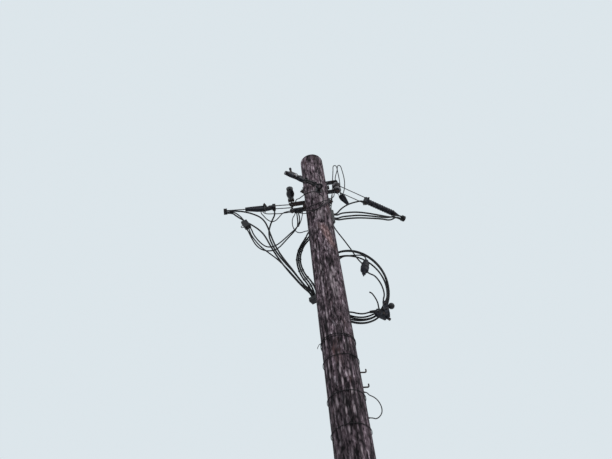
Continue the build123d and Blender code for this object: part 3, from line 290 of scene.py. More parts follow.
# Cables and wires: diameter, length, and the points that each one passes, with Z from the pole's top
CORDS = {
    "drip_cable_a": (0.014, 1.327, (
        (-0.8097, -0.1023, -0.6949), (-0.779, -0.097, -0.693), (-0.725, -0.098, -0.714),
        (-0.671, -0.093, -0.725), (-0.614, -0.085, -0.747), (-0.556, -0.076, -0.78), (-0.51, -0.067, -0.817),
        (-0.477, -0.056, -0.869), (-0.456, -0.047, -0.936), (-0.44, -0.04, -1.009), (-0.422, -0.033, -1.089),
        (-0.4, -0.025, -1.167), (-0.37, -0.015, -1.249), (-0.331, -0.003, -1.334), (-0.285, 0.008, -1.421),
        (-0.242, 0.021, -1.513), (-0.202, 0.033, -1.587), (-0.172, 0.042, -1.647), (-0.139, 0.045, -1.682),
        (-0.139, 0.045, -1.7255),
    )),
    "drip_cable_b": (0.014, 1.138, (
        (-0.3934, -0.0253, -0.6759), (-0.391, -0.025, -0.715), (-0.394, -0.028, -0.77),
        (-0.414, -0.024, -0.813), (-0.438, -0.018, -0.883), (-0.453, -0.012, -0.95), (-0.452, -0.005, -1.03),
        (-0.432, 0.002, -1.106), (-0.406, 0.01, -1.187), (-0.37, 0.018, -1.265), (-0.325, 0.028, -1.348),
        (-0.275, 0.038, -1.429), (-0.234, 0.05, -1.512), (-0.192, 0.059, -1.589), (-0.131, 0.061, -1.678),
        (-0.1314, 0.0613, -1.7255),
    )),
    "drip_cable_c": (0.014, 1.270, (
        (-0.8122, -0.0825, -0.7039), (-0.767, -0.075, -0.701), (-0.734, -0.082, -0.756),
        (-0.687, -0.085, -0.814), (-0.637, -0.087, -0.872), (-0.583, -0.089, -0.931), (-0.53, -0.09, -0.997),
        (-0.488, -0.089, -1.066), (-0.459, -0.086, -1.143), (-0.435, -0.078, -1.214),
        (-0.405, -0.062, -1.287), (-0.372, -0.04, -1.354), (-0.332, -0.014, -1.423), (-0.287, 0.014, -1.49),
        (-0.241, 0.042, -1.556), (-0.2, 0.062, -1.612), (-0.148, 0.069, -1.678), (-0.1477, 0.0689, -1.7255),
    )),
    "block_lead_in": (0.011, 0.301, (
        (-0.8142, -0.0778, -0.686), (-0.789, -0.074, -0.684), (-0.754, -0.079, -0.697),
        (-0.72, -0.086, -0.742), (-0.684, -0.102, -0.808), (-0.6613, -0.122, -0.868),
        (-0.6451, -0.122, -0.905),
    )),
    "block_lead_a": (0.011, 1.042, (
        (-0.629, -0.122, -0.9994), (-0.615, -0.122, -1.032), (-0.596, -0.12, -1.096),
        (-0.576, -0.118, -1.155), (-0.555, -0.114, -1.209), (-0.522, -0.108, -1.259),
        (-0.482, -0.103, -1.289), (-0.438, -0.098, -1.297), (-0.397, -0.091, -1.287), (-0.36, -0.079, -1.248),
        (-0.33, -0.063, -1.191), (-0.297, -0.047, -1.128), (-0.261, -0.033, -1.066), (-0.227, -0.021, -1.007),
        (-0.199, -0.012, -0.943), (-0.194, -0.005, -0.868), (-0.194, 0, -0.801), (-0.196, 0.01, -0.763),
        (-0.196, 0.01, -0.7255),
    )),
    "block_lead_b": (0.011, 0.998, (
        (-0.5997, -0.122, -0.9866), (-0.586, -0.122, -1.017), (-0.571, -0.118, -1.08),
        (-0.541, -0.118, -1.15), (-0.505, -0.118, -1.215), (-0.466, -0.118, -1.262), (-0.422, -0.116, -1.274),
        (-0.381, -0.11, -1.253), (-0.341, -0.099, -1.208), (-0.301, -0.084, -1.148), (-0.262, -0.068, -1.085),
        (-0.223, -0.055, -1.03), (-0.189, -0.044, -0.969), (-0.174, -0.032, -0.891), (-0.174, -0.02, -0.816),
        (-0.18, 0.009, -0.763), (-0.18, 0.009, -0.7255),
    )),
    "block_lead_c": (0.011, 0.929, (
        (-0.6162, -0.131, -0.9938), (-0.603, -0.131, -1.025), (-0.591, -0.134, -1.091),
        (-0.569, -0.133, -1.148), (-0.541, -0.131, -1.206), (-0.509, -0.127, -1.26), (-0.47, -0.121, -1.31),
        (-0.425, -0.11, -1.358), (-0.381, -0.094, -1.402), (-0.338, -0.074, -1.455), (-0.296, -0.05, -1.511),
        (-0.254, -0.022, -1.57), (-0.217, 0.004, -1.621), (-0.183, 0.019, -1.65), (-0.1227, 0.0374, -1.676),
        (-0.1227, 0.0374, -1.7255),
    )),
    "tail_wire_left": (0.009, 0.499, (
        (-0.5146, -0.0374, -0.6868), (-0.514, -0.037, -0.72), (-0.49, -0.054, -0.778),
        (-0.466, -0.058, -0.833), (-0.438, -0.061, -0.873), (-0.408, -0.062, -0.892), (-0.378, -0.06, -0.877),
        (-0.348, -0.052, -0.825), (-0.319, -0.038, -0.762), (-0.283, -0.007, -0.712),
        (-0.2478, -0.007, -0.712),
    )),
    "bond_wire_left": (0.008, 0.322, (
        (-0.4987, -0.0481, -0.6867), (-0.498, -0.048, -0.715), (-0.478, -0.049, -0.744),
        (-0.446, -0.051, -0.762), (-0.404, -0.05, -0.767), (-0.36, -0.042, -0.768), (-0.322, -0.02, -0.744),
        (-0.281, 0.006, -0.712), (-0.2478, 0.0065, -0.712),
    )),
    "eye_wire_a": (0.008, 0.462, (
        (-0.208, -0.005, -0.7255), (-0.208, -0.005, -0.763), (-0.237, -0.014, -0.822),
        (-0.243, -0.022, -0.896), (-0.239, -0.032, -0.968), (-0.222, -0.042, -1.031),
        (-0.196, -0.044, -1.065), (-0.166, -0.032, -1.055), (-0.14, -0.005, -1.012),
        (-0.1143, -0.004, -1.012),
    )),
    "eye_wire_b": (0.008, 0.296, (
        (-0.146, 0.008, -0.7255), (-0.146, 0.008, -0.759), (-0.147, -0.008, -0.791), (-0.156, -0.026, -0.863),
        (-0.17, -0.046, -0.938), (-0.189, -0.064, -1.008),
    )),
    "front_jumper_a": (0.0085, 0.834, (
        (-0.192, -0.0225, -0.613), (-0.192, -0.05, -0.613), (-0.156, -0.068, -0.629),
        (-0.124, -0.088, -0.624), (-0.088, -0.108, -0.624), (-0.049, -0.124, -0.631),
        (-0.007, -0.134, -0.645), (0.03, -0.138, -0.683), (0.056, -0.138, -0.741), (0.059, -0.138, -0.805),
        (0.037, -0.138, -0.861), (-0.001, -0.138, -0.899), (-0.046, -0.134, -0.906), (-0.091, -0.118, -0.881),
        (-0.127, -0.092, -0.843), (-0.15, -0.064, -0.813), (-0.165, -0.038, -0.798), (-0.174, -0.013, -0.755),
        (-0.174, -0.013, -0.7255),
    )),
    "front_jumper_b": (0.008, 0.616, (
        (-0.157, -0.013, -0.7255), (-0.157, -0.013, -0.755), (-0.133, -0.046, -0.77),
        (-0.106, -0.076, -0.796), (-0.075, -0.1, -0.81), (-0.038, -0.116, -0.813), (0.004, -0.121, -0.803),
        (0.048, -0.116, -0.78), (0.093, -0.098, -0.745), (0.127, -0.074, -0.702), (0.15, -0.05, -0.659),
        (0.16, -0.028, -0.615), (0.168, -0.01, -0.548), (0.168, -0.01, -0.5125),
    )),
    "front_jumper_c": (0.008, 0.761, (
        (-0.19, -0.013, -0.7255), (-0.19, -0.013, -0.759), (-0.173, -0.048, -0.805), (-0.146, -0.076, -0.854),
        (-0.112, -0.1, -0.891), (-0.071, -0.118, -0.908), (-0.025, -0.122, -0.894), (0.02, -0.122, -0.862),
        (0.062, -0.114, -0.82), (0.097, -0.094, -0.769), (0.121, -0.068, -0.719), (0.134, -0.044, -0.665),
        (0.136, -0.022, -0.611), (0.152, -0.012, -0.548), (0.152, -0.012, -0.5125),
    )),
    "strand_tail": (0.014, 0.431, (
        (0.4486, 0.1816, -0.5107), (0.422, 0.162, -0.508), (0.369, 0.16, -0.514), (0.307, 0.14, -0.549),
        (0.255, 0.124, -0.593), (0.207, 0.114, -0.642), (0.176, 0.108, -0.69), (0.156, 0.101, -0.718),
        (0.137, 0.092, -0.73), (0.1206, 0.0818, -0.73),
    )),
    "right_cable_a": (0.015, 0.797, (
        (0.1283, 0.0689, -0.756), (0.162, 0.089, -0.756), (0.195, 0.11, -0.708), (0.268, 0.14, -0.674),
        (0.354, 0.18, -0.64), (0.452, 0.232, -0.616), (0.559, 0.292, -0.598), (0.668, 0.358, -0.575),
        (0.729, 0.403, -0.532), (0.782, 0.4411, -0.5362),
    )),
    "right_cable_b": (0.015, 0.810, (
        (0.1206, 0.0818, -0.786), (0.154, 0.102, -0.786), (0.198, 0.11, -0.758), (0.269, 0.134, -0.734),
        (0.355, 0.168, -0.701), (0.449, 0.216, -0.673), (0.555, 0.274, -0.646), (0.662, 0.334, -0.614),
        (0.744, 0.376, -0.529), (0.7997, 0.4169, -0.5342),
    )),
    "right_cable_c": (0.015, 0.814, (
        (0.1283, 0.0689, -0.82), (0.162, 0.089, -0.82), (0.205, 0.11, -0.793), (0.284, 0.142, -0.759),
        (0.373, 0.184, -0.724), (0.473, 0.234, -0.695), (0.576, 0.29, -0.66), (0.662, 0.342, -0.644),
        (0.738, 0.389, -0.544), (0.7907, 0.4277, -0.5482),
    )),
    "drop_lead_right": (0.011, 0.542, (
        (0.1111, 0.0714, -0.8785), (0.111, 0.071, -0.904), (0.119, 0.082, -0.928), (0.137, 0.089, -0.976),
        (0.161, 0.094, -1.036), (0.185, 0.096, -1.097), (0.206, 0.097, -1.159), (0.228, 0.098, -1.221),
        (0.245, 0.099, -1.282), (0.262, 0.103, -1.327), (0.28, 0.112, -1.36), (0.2934, 0.112, -1.3834),
    )),
    "back_cable_a": (0.014, 1.186, (
        (0.1009, 0.0845, -0.746), (0.084, 0.113, -0.746), (0.052, 0.142, -0.76), (0.004, 0.154, -0.77),
        (-0.046, 0.154, -0.792), (-0.092, 0.146, -0.828), (-0.124, 0.138, -0.882), (-0.147, 0.131, -0.95),
        (-0.2, 0.12, -1.051), (-0.238, 0.11, -1.173), (-0.244, 0.101, -1.295), (-0.219, 0.095, -1.437),
        (-0.174, 0.092, -1.538), (-0.152, 0.088, -1.61), (-0.14, 0.085, -1.672), (-0.1401, 0.0852, -1.7255),
    )),
    "back_cable_b": (0.014, 1.129, (
        (0.1009, 0.0845, -0.788), (0.084, 0.113, -0.788), (0.05, 0.14, -0.803), (0.002, 0.15, -0.818),
        (-0.046, 0.148, -0.846), (-0.088, 0.138, -0.888), (-0.133, 0.13, -0.962), (-0.186, 0.119, -1.056),
        (-0.223, 0.109, -1.176), (-0.229, 0.101, -1.294), (-0.203, 0.093, -1.432), (-0.157, 0.086, -1.532),
        (-0.134, 0.08, -1.612), (-0.124, 0.078, -1.678), (-0.1238, 0.0776, -1.7255),
    )),
    "back_cable_c": (0.014, 1.081, (
        (0.1009, 0.0845, -0.83), (0.084, 0.113, -0.83), (0.05, 0.14, -0.846), (0.004, 0.152, -0.865),
        (-0.042, 0.152, -0.896), (-0.084, 0.142, -0.94), (-0.121, 0.13, -0.978), (-0.172, 0.12, -1.061),
        (-0.208, 0.109, -1.179), (-0.214, 0.101, -1.293), (-0.187, 0.092, -1.427), (-0.14, 0.079, -1.526),
        (-0.116, 0.072, -1.608), (-0.107, 0.07, -1.676), (-0.1075, 0.07, -1.7255),
    )),
    "splitter_feed": (0.011, 0.563, (
        (-0.0435, 0.162, -1.47), (-0.018, 0.162, -1.47), (0.014, 0.161, -1.444), (0.04, 0.157, -1.388),
        (0.066, 0.152, -1.328), (0.094, 0.147, -1.284), (0.131, 0.142, -1.245), (0.177, 0.137, -1.241),
        (0.222, 0.131, -1.251), (0.263, 0.125, -1.263), (0.299, 0.119, -1.277), (0.323, 0.114, -1.297),
        (0.334, 0.112, -1.335), (0.3281, 0.112, -1.3578),
    )),
    "splitter_lead": (0.012, 0.364, (
        (0.3183, 0.112, -1.4849), (0.332, 0.112, -1.509), (0.367, 0.114, -1.531), (0.39, 0.117, -1.579),
        (0.406, 0.12, -1.633), (0.413, 0.122, -1.691), (0.411, 0.123, -1.749), (0.392, 0.1277, -1.788),
        (0.392, 0.1277, -1.8175),
    )),
    "tap_lead": (0.012, 0.473, (
        (-0.1148, 0.085, -1.746), (-0.104, 0.108, -1.746), (-0.082, 0.126, -1.762), (-0.046, 0.135, -1.782),
        (-0.004, 0.138, -1.804), (0.044, 0.138, -1.828), (0.092, 0.137, -1.846), (0.145, 0.135, -1.861),
        (0.182, 0.132, -1.884), (0.226, 0.129, -1.898), (0.272, 0.1277, -1.89), (0.3045, 0.1277, -1.89),
    )),
    "loose_end": (0.011, 0.184, (
        (0.346, 0.1277, -1.8765), (0.346, 0.1277, -1.851), (0.347, 0.122, -1.809), (0.336, 0.114, -1.769),
        (0.324, 0.111, -1.736), (0.313, 0.11, -1.714), (0.3, 0.11, -1.706),
    )),
    "loop_wire": (0.0085, 1.077, (
        (0.1164, 0.0606, -0.7055), (0.116, 0.061, -0.666), (0.134, 0.05, -0.609), (0.144, 0.04, -0.533),
        (0.157, 0.033, -0.452), (0.17, 0.024, -0.356), (0.184, 0.021, -0.252), (0.194, 0.019, -0.186),
        (0.2, 0.018, -0.142), (0.203, 0.018, -0.108), (0.209, 0.018, -0.082), (0.223, 0.018, -0.074),
        (0.236, 0.018, -0.085), (0.24, 0.018, -0.11), (0.241, 0.019, -0.144), (0.241, 0.021, -0.198),
        (0.242, 0.025, -0.264), (0.241, 0.033, -0.33), (0.237, 0.048, -0.388), (0.231, 0.068, -0.434),
        (0.2269, 0.0825, -0.472), (0.2269, 0.0825, -0.5051),
    )),
    "loop_wire_2": (0.0085, 0.697, (
        (0.2017, 0, -0.3515), (0.202, 0, -0.314), (0.212, 0.001, -0.27), (0.226, 0.003, -0.222),
        (0.238, 0.005, -0.178), (0.243, 0.007, -0.144), (0.247, 0.009, -0.116), (0.254, 0.011, -0.095),
        (0.267, 0.014, -0.088), (0.278, 0.016, -0.1), (0.282, 0.017, -0.126), (0.284, 0.018, -0.164),
        (0.287, 0.022, -0.214), (0.29, 0.03, -0.274), (0.288, 0.046, -0.332), (0.279, 0.068, -0.388),
        (0.262, 0.086, -0.434), (0.2459, 0.0936, -0.47), (0.2459, 0.0936, -0.5057),
    )),
    "hook_wire_a": (0.007, 0.316, (
        (0.1199, 0.0211, -2.63), (0.137, 0.024, -2.63), (0.15, 0.042, -2.643), (0.171, 0.05, -2.65),
        (0.189, 0.056, -2.664), (0.203, 0.06, -2.684), (0.213, 0.063, -2.712), (0.216, 0.065, -2.741),
        (0.209, 0.062, -2.771), (0.19, 0.056, -2.797), (0.164, 0.046, -2.813), (0.146, 0.026, -2.813),
        (0.1207, 0.0213, -2.813),
    )),
}
BARE_ENDS = ("eye_wire_b", "loose_end")
# From this diameter on a cord is a cable and not a wire
THICK = 0.01


def route_of(name):
    return [(x, y, POLE_TOP + z) for x, y, z in CORDS[name][2]]


def cable_curve(name, diameter, points):
    curve = bpy.data.curves.new(name, "CURVE")
    curve.dimensions = "3D"
    curve.resolution_u = 7
    curve.bevel_depth = diameter / 2
    curve.bevel_resolution = 3
    curve.use_fill_caps = True
    spline = curve.splines.new("NURBS")
    spline.points.add(len(points) - 1)
    for control, point in zip(spline.points, points):
        control.co = (*point, 1)
    spline.order_u = 3
    spline.use_endpoint_u = True
    return curve


for name, (diameter, length, _) in CORDS.items():
    points = route_of(name)
    finish = "black_cable" if diameter >= THICK else "wire"
    cable = new_piece(f"{name}_line", cable_curve(name, diameter, points), finish, name)

# Slack coil behind the pole: five loose turns of one cable between an inner and an outer oval. The coil's
# front and its back have ovals of their own: middle X and Z, half width, half height and tilt in degrees.
COIL_DIAMETER = 0.013
COIL_NEAR = 0.158
COIL_FAR = 0.1925
NEAR_OVALS = ((0.1946, 4.707, 0.2388, 0.335, 15), (0.1924, 4.691, 0.2772, 0.4165, 6.9))
FAR_OVALS = ((0.197, 4.738, 0.240, 0.338, 15), (0.194, 4.722, 0.280, 0.420, 6.9))
COIL_TURNS = 5
COIL_POINTS = 16
COIL_START = radians(-67)
# How far out each turn lies at the foot, the left, the top and the right, and how far back
COIL_SHARES = (
    0.42, 0.35, 0, 0, 0.68, 0.74, 0.86, 0.8, 0.98, 0.8, 1, 1, 0.66, 0.45, 0.14, 0, 1, 0.9, 0.94, 0.85, 0.4,
)
COIL_LAYERS = (0, 0, 0, 0, 0, 0, 0, 0.1, 0.3, 0.5, 0.5, 0.5, 0.75, 1, 1, 1, 1, 1, 1, 1, 1)


def oval_point(low, high, share, angle):
    """X and Z on the oval that lies a share of the way between two ovals."""
    middle_x, middle_z, half_width, half_height, tilt = (a + (b - a) * share for a, b in zip(low, high))
    u, v = half_width * cos(angle), half_height * sin(angle)
    c, s = cos(radians(tilt)), sin(radians(tilt))
    return middle_x + u * c - v * s, middle_z + u * s + v * c


def between(values, place):
    """A value part of the way along a list, eased at each of its entries."""
    index = min(int(place), len(values) - 2)
    share = place - index
    share = share * share * (3 - 2 * share)
    return values[index] + (values[index + 1] - values[index]) * share


coil_points = []
for step in range(COIL_TURNS * COIL_POINTS + 1):
    quarter = 4 * step / COIL_POINTS
    share, back = between(COIL_SHARES, quarter), between(COIL_LAYERS, quarter)
    angle = COIL_START - quarter * pi / 2
    near, far = oval_point(*NEAR_OVALS, share, angle), oval_point(*FAR_OVALS, share, angle)
    x, z = (a + (b - a) * back for a, b in zip(near, far))
    coil_points.append((x, COIL_NEAR + (COIL_FAR - COIL_NEAR) * back, z))
coil_curve = cable_curve("slack_coil", COIL_DIAMETER, coil_points)
coil = new_piece("slack_coil_line", coil_curve, "black_cable", "slack_coil")

# Pole: columns that follow the grain, with open checks, knots and a weathered head
COLUMNS = 150
EDGE_ROUND = 0.008
# The rings are 20 mm apart up to here, where the photograph starts, and closer above it
CLOSE_FROM = 3
# A check this deep is painted fully dark, as painted shade inside it
DARK_DEPTH = 0.003
TURN = 2 * pi
# Listed checks: azimuth at their middle in degrees, foot, head, depth and width
LONG_CHECKS = (
    (-127, 3.0, 5.12, 0.013, 0.0055), (-141, 3.5, 4.75, 0.008, 0.004), (-112, 4.1, 5.6, 0.007, 0.0035),
    (-66, 3.2, 4.9, 0.006, 0.0035), (-88, 4.55, 5.16, 0.007, 0.004), (-100, 5.55, 6.25, 0.006, 0.003),
    (-44, 4.9, 6.1, 0.006, 0.003), (-30, 3.1, 4.3, 0.006, 0.003), (25, 2.2, 5.9, 0.012, 0.005),
    (96, 1.0, 5.2, 0.013, 0.006), (150, 2.6, 6.25, 0.011, 0.005), (-160, 0.4, 3.4, 0.011, 0.005),
    (-75, 0.1, 2.7, 0.011, 0.005),
)
# Dark bands of painted shade along the pole, most of them beside the checks and two at the pole's sides, each
# with broken painted glints beside it: azimuth, foot, head, width, glints
BANDS = (
    (-129, 4.5, 5.22, 8, 14), (-123, 3.7, 4.6, 5, 8), (-141, 3.3, 4.5, 7, 9), (-86, 4.88, 5.19, 3.5, -9),
    (-27, 4.85, 5.45, 6, -9), (-131, 5.5, 6.15, 6, 9), (-96, 5.45, 6.1, 4, 7), (-58, 5.55, 6.15, 6, 8),
    (-160, 3, 5.6, 8, 0), (-6, 3, 5.7, 8, 0), (-100, 3.1, 4.1, 4, 7), (-60, 3.0, 4.2, 5, -8),
    (20, 0.5, 5.5, 6, 12), (70, 1.8, 6.1, 8, -14), (125, 0.2, 4.8, 7, 12), (165, 2.4, 6.2, 7, -12),
    (-105, 0.1, 2.6, 6, 10), (-45, 0.4, 2.8, 6, -10), (95, 3.0, 6.2, 5, 9), (45, 2.2, 4.6, 5, 10),
)
# Pale specks, dark spots and smooth pale places: azimuth, height, and half sizes in degrees and metres
# Pale specks; those beside the dark bands are painted glints
GLINTS_AND_SPECKS = (
    (-128, 4.94, 3.5, 0.03), (-113, 4.68, 3, 0.035), (-115, 4.56, 3, 0.022), (-117, 4.4, 3.4, 0.02),
    (-115, 4.2, 3, 0.04), (-92, 6.02, 3.2, 0.03), (-118, 5.9, 3.6, 0.05), (-64, 5.78, 3, 0.03),
    (-55, 5.5, 4, 0.035), (-104, 5.62, 3, 0.04), (-96, 3.72, 2.6, 0.03), (-120, 3.5, 3, 0.04),
    (60, 5.1, 3, 0.04), (140, 4.2, 3.4, 0.05),
)
# Dark spots; the first is painted shade in the empty bolt hole
DARK_SPOTS = (
    (-83, 5.206, 8, 0.016), (-50, 5.284, 5, 0.025), (-33, 5.17, 5, 0.03), (-41, 4.99, 4, 0.022),
    (-73, 5.95, 5, 0.03), (-125, 5.3, 6, 0.05), (-108, 4.9, 5, 0.06), (-78, 4.74, 5, 0.035),
    (-64, 4.52, 6, 0.02), (-88, 4.36, 5, 0.03), (-70, 3.9, 5, 0.03), (-110, 3.95, 5, 0.05),
    (-86, 3.4, 6, 0.03), (35, 4.7, 5, 0.04),
)
PALE_PLACES = (
    (-91, 5.335, 24, 0.075), (-38, 5.2, 9, 0.12), (100, 4.3, 18, 0.2), (-70, 4.5, 16, 0.16),
    (-96, 5.64, 20, 0.085), (-66, 5.52, 15, 0.07), (-44, 5.6, 9, 0.14),
)
# Azimuth, height and size
KNOTS = (
    (-95, 5.86, 0.02), (-60, 4.33, 0.024), (-118, 3.62, 0.022), (30, 5.2, 0.024), (120, 4.4, 0.026),
    (-150, 2.3, 0.026), (60, 1.5, 0.026), (-80, 1.2, 0.03), (170, 5.4, 0.02),
)


def grain_turn(height):
    """How far the grain has wandered round the pole at a height, in radians."""
    return radians(7 * sin(height * 1.9 + 0.6) + 2.5 * sin(height * 5.3))


def make_checks(random_source):
    """Column, foot, head, depth and half width of each check, none beside another one."""
    checks = []
    for azimuth, foot, head, depth, width in LONG_CHECKS:
        turned = radians(azimuth) - grain_turn((foot + head) / 2)
        checks.append((round(turned / TURN * COLUMNS) % COLUMNS, foot, head, depth, width / 2))
    for _ in range(900):
        column = random_source.randrange(COLUMNS)
        foot = random_source.uniform(-0.2, 6.1)
        head = min(foot + random_source.uniform(0.12, 0.9), POLE_TOP + 0.05)
        depth = random_source.uniform(0.0015, 0.0055)
        free = all(
            min((column - other) % COLUMNS, (other - column) % COLUMNS) > 2 or head < low or foot > high
            for other, low, high, *_ in checks
        )
        if free:
            checks.append((column, foot, head, depth, random_source.uniform(0.0008, 0.0016)))
    return checks


def limited(*values):
    """The least of the values, kept between 0 and 1."""
    return max(0, min(1, *values))


def degrees_apart(azimuth, middle):
    return (azimuth - middle + 180) % 360 - 180


def painted_light_and_shade(azimuth, height):
    """How dark and how pale the wood is at a place: painted shade in the dark bands and the empty bolt hole,
    painted glints, and other dark spots and pale places.
    """
    shade = light = 0

    def strength(middle, centre, wide, tall):
        if abs(height - centre) > 2.5 * tall:
            return 0
        apart = degrees_apart(azimuth, middle)
        return exp(-((apart / wide) ** 2) - ((height - centre) / tall) ** 2)

    for middle, foot, head, width, beside in BANDS:
        ends = limited((height - foot) * 4, (head - height) * 4)
        if not ends:
            continue
        wander = 4 * noise.noise((middle, height * 2.2, 0)) + 2.5 * noise.noise((middle, height * 14, 5))
        apart = degrees_apart(azimuth + wander, middle)
        if abs(apart) > 40:
            continue
        broken = 0.7 + 1.3 * noise.noise((apart * 0.14, height * 16, middle))
        # The band's painted shade, and the painted glints beside it
        shade = max(shade, ends * broken * exp(-((apart / width) ** 2)))
        if beside:
            glint = max(0, 0.25 + 2.2 * noise.noise((middle * 0.3, height * 15, 2)))
            light = max(light, ends * glint * exp(-(((apart - beside) / 2.6) ** 2)))
    for place in PALE_PLACES:
        spot = (degrees_apart(azimuth, place[0]) * 0.16, height * 24, place[1])
        light = max(light, strength(*place) * (0.5 + 0.8 * noise.noise(spot)))
    # Pale specks, painted glints among them
    for place in GLINTS_AND_SPECKS:
        share = strength(*place)
        light, shade = max(light, share), shade * (1 - share)
    # Dark spots, the first of them painted shade in the empty bolt hole
    for place in DARK_SPOTS:
        share = strength(*place)
        light, shade = light * (1 - share), max(shade, share)
    return min(1, shade), min(1, light)


def patch_share(azimuth, height):
    """How reddish the wood is at a place: one patch that slants across the front."""
    middle = -80 + (5.15 - height) * 150
    window = limited((height - 4.86) * 9, (5.22 - height) * 12)
    uneven = 0.85 + 0.5 * noise.noise((azimuth * 0.12, height * 14, 3))
    return exp(-((azimuth - middle) / 18) ** 4) * window * uneven


def worn_depth(angle, height, radius):
    """How far the worn surface lies under the round one, with a hollow at each knot."""
    depth = 0
    for around, up, most in ((3, 0.9, 0.0014), (26, 3.2, 0.0016)):
        spot = (cos(angle) * around, sin(angle) * around, height * up)
        depth += most * (noise.noise(spot) + 1) / 2
    for azimuth, knot_height, size in KNOTS:
        apart = (angle - radians(azimuth) + pi) % TURN - pi
        away = hypot(apart * radius / size, (height - knot_height) / size / 1.5)
        if away < 2:
            depth += 0.0035 * exp(-away * away * 3)
    return depth


def join_rings(mesh, first, second):
    """Faces between two closed rings of points, either of which may be a single point."""
    count = max(len(first), len(second))
    for k in range(count):
        after = (k + 1) % count
        if len(first) == 1:
            mesh.faces.new((first[0], second[after], second[k]))
        elif len(second) == 1:
            mesh.faces.new((first[k], first[after], second[0]))
        else:
            mesh.faces.new((first[k], first[after], second[after], second[k]))


CHECKS = {}
for check_column, *check in make_checks(random.Random(7)):
    CHECKS.setdefault(check_column, []).append(check)


def opening(column, height):
    for foot, head, depth, half in CHECKS.get(column % COLUMNS, ()):
        if foot < height < head:
            share = (height - foot) / (head - foot)
            wide = min(1, 4 * share, 4 * (1 - share) if head <= POLE_TOP else 1)
            rough = 0.75 + 0.5 * noise.noise((column * 3.1, height * 9, 0))
            return depth * wide * rough, half * wide
    return 0, 0


def pole_ring(mesh, layers, height, radius):
    """Points round the pole: sunk where a check is open, and at its edges on either side of it."""
    made = []
    turn = grain_turn(height)
    for column in range(COLUMNS):
        angle = TURN * column / COLUMNS + turn
        depth, _ = opening(column, height)
        for side in (-1, 1):
            _, half = opening(column - side, height)
            if half:
                angle = TURN * (column - side) / COLUMNS + turn + side * half / radius
        reach = radius - worn_depth(angle, height, radius) - depth
        vertex = mesh.verts.new((reach * cos(angle), reach * sin(angle), height))
        azimuth = degrees((angle + pi) % TURN - pi)
        # Painted shade inside an open check, full from DARK_DEPTH on
        vertex[layers["check"]] = min(1, depth / DARK_DEPTH)
        vertex[layers["patch"]] = patch_share(azimuth, height)
        vertex[layers["shade"]], vertex[layers["light"]] = painted_light_and_shade(azimuth, height)
        made.append(vertex)
    return made


def sawn_top(mesh, check_shade_layer, edge):
    """Rings inside the edge of the top, which sags a little towards its middle."""
    rings = []
    for share in (0.9, 0.78, 0.64, 0.5, 0.36, 0.22, 0.1):
        inner = []
        for column, vertex in enumerate(edge):
            depth, _ = opening(column, POLE_TOP - 0.001)
            x, y = vertex.co.x * share, vertex.co.y * share
            sag = 0.0008 + 0.0012 * (noise.noise((x * 40, y * 40, 1)) + 1) + depth * 0.6 * share
            point = mesh.verts.new((x, y, POLE_TOP - sag))
            # Painted shade inside the checks, fading towards the middle
            point[check_shade_layer] = min(1, depth / DARK_DEPTH) * share
            inner.append(point)
        rings.append(inner)
    return [*rings, [mesh.verts.new((0, 0, POLE_TOP - 0.002))]]


def pole_mesh():
    mesh = bmesh.new()
    layers = {name: mesh.verts.layers.float.new(name) for name in ("check", "patch", "shade", "light")}
    close_step = (POLE_TOP - EDGE_ROUND - CLOSE_FROM) / 340
    heights = [0.02 * step for step in range(150)] + [CLOSE_FROM + close_step * step for step in range(341)]
    rings = [pole_ring(mesh, layers, height, pole_radius(height)) for height in heights]
    for step in range(1, 5):
        angle = radians(22.5 * step)
        height = POLE_TOP - EDGE_ROUND + EDGE_ROUND * sin(angle)
        radius = pole_radius(height) - EDGE_ROUND * (1 - cos(angle))
        rings.append(pole_ring(mesh, layers, height - 0.0001, radius))
    rings += sawn_top(mesh, layers["check"], rings[-1])
    rings.insert(0, [mesh.verts.new((0, 0, 0))])
    for lower, upper in zip(rings, rings[1:]):
        join_rings(mesh, lower, upper)
    return mesh_data(mesh, "pole", smooth=True)


def cut(piece, holes):
    """Cuts a round hole for each middle, direction, radius and half length."""
    mesh = bmesh.new()
    for middle, run, radius, half in holes:
        turn = Vector(run).to_track_quat("Z", "Y").to_matrix().to_4x4()
        bmesh.ops.create_cone(
            mesh, cap_ends=True, segments=24, radius1=radius, radius2=radius, depth=2 * half,
            matrix=Matrix.Translation(middle) @ turn,
        )
    tool = linked("cutter", mesh_data(mesh, "cutter"))
    modifier = piece.modifiers.new("holes", "BOOLEAN")
    modifier.operation = "DIFFERENCE"
    modifier.solver = "EXACT"
    modifier.object = tool
    bpy.context.view_layer.update()
    seen = piece.evaluated_get(bpy.context.evaluated_depsgraph_get())
    data = bpy.data.meshes.new_from_object(seen)
    piece.modifiers.clear()
    piece.data = data
    bpy.data.objects.remove(tool)


def bearing(azimuth):
    return Vector((cos(radians(azimuth)), sin(radians(azimuth)), 0))


# Through bolts: the azimuth of the head's side and the height; the empty bolt hole; and the nail hole
THROUGH_BOLTS = ((-75, 5.645), (0, 5.811), (180, 5.593))
EMPTY_HOLE = (-84, 5.206)
NAIL_HOLE = ((0.038, -0.104, 6.024), (-0.3, 0.95, 0), 0.0035, 0.03)
BOLT_HOLE_RADIUS = 0.009
pole = new_piece("weathered_pole", pole_mesh(), "wood", "pole_shaft")
cut(pole, [
    ((0, 0, height), bearing(azimuth), BOLT_HOLE_RADIUS, 0.2)
    for azimuth, height in (EMPTY_HOLE, *THROUGH_BOLTS)
] + [NAIL_HOLE])


def outward(azimuth, height, gap):
    """A point this far off the pole's surface."""
    return bearing(azimuth) * (pole_radius(height) + gap) + Vector((0, 0, height))


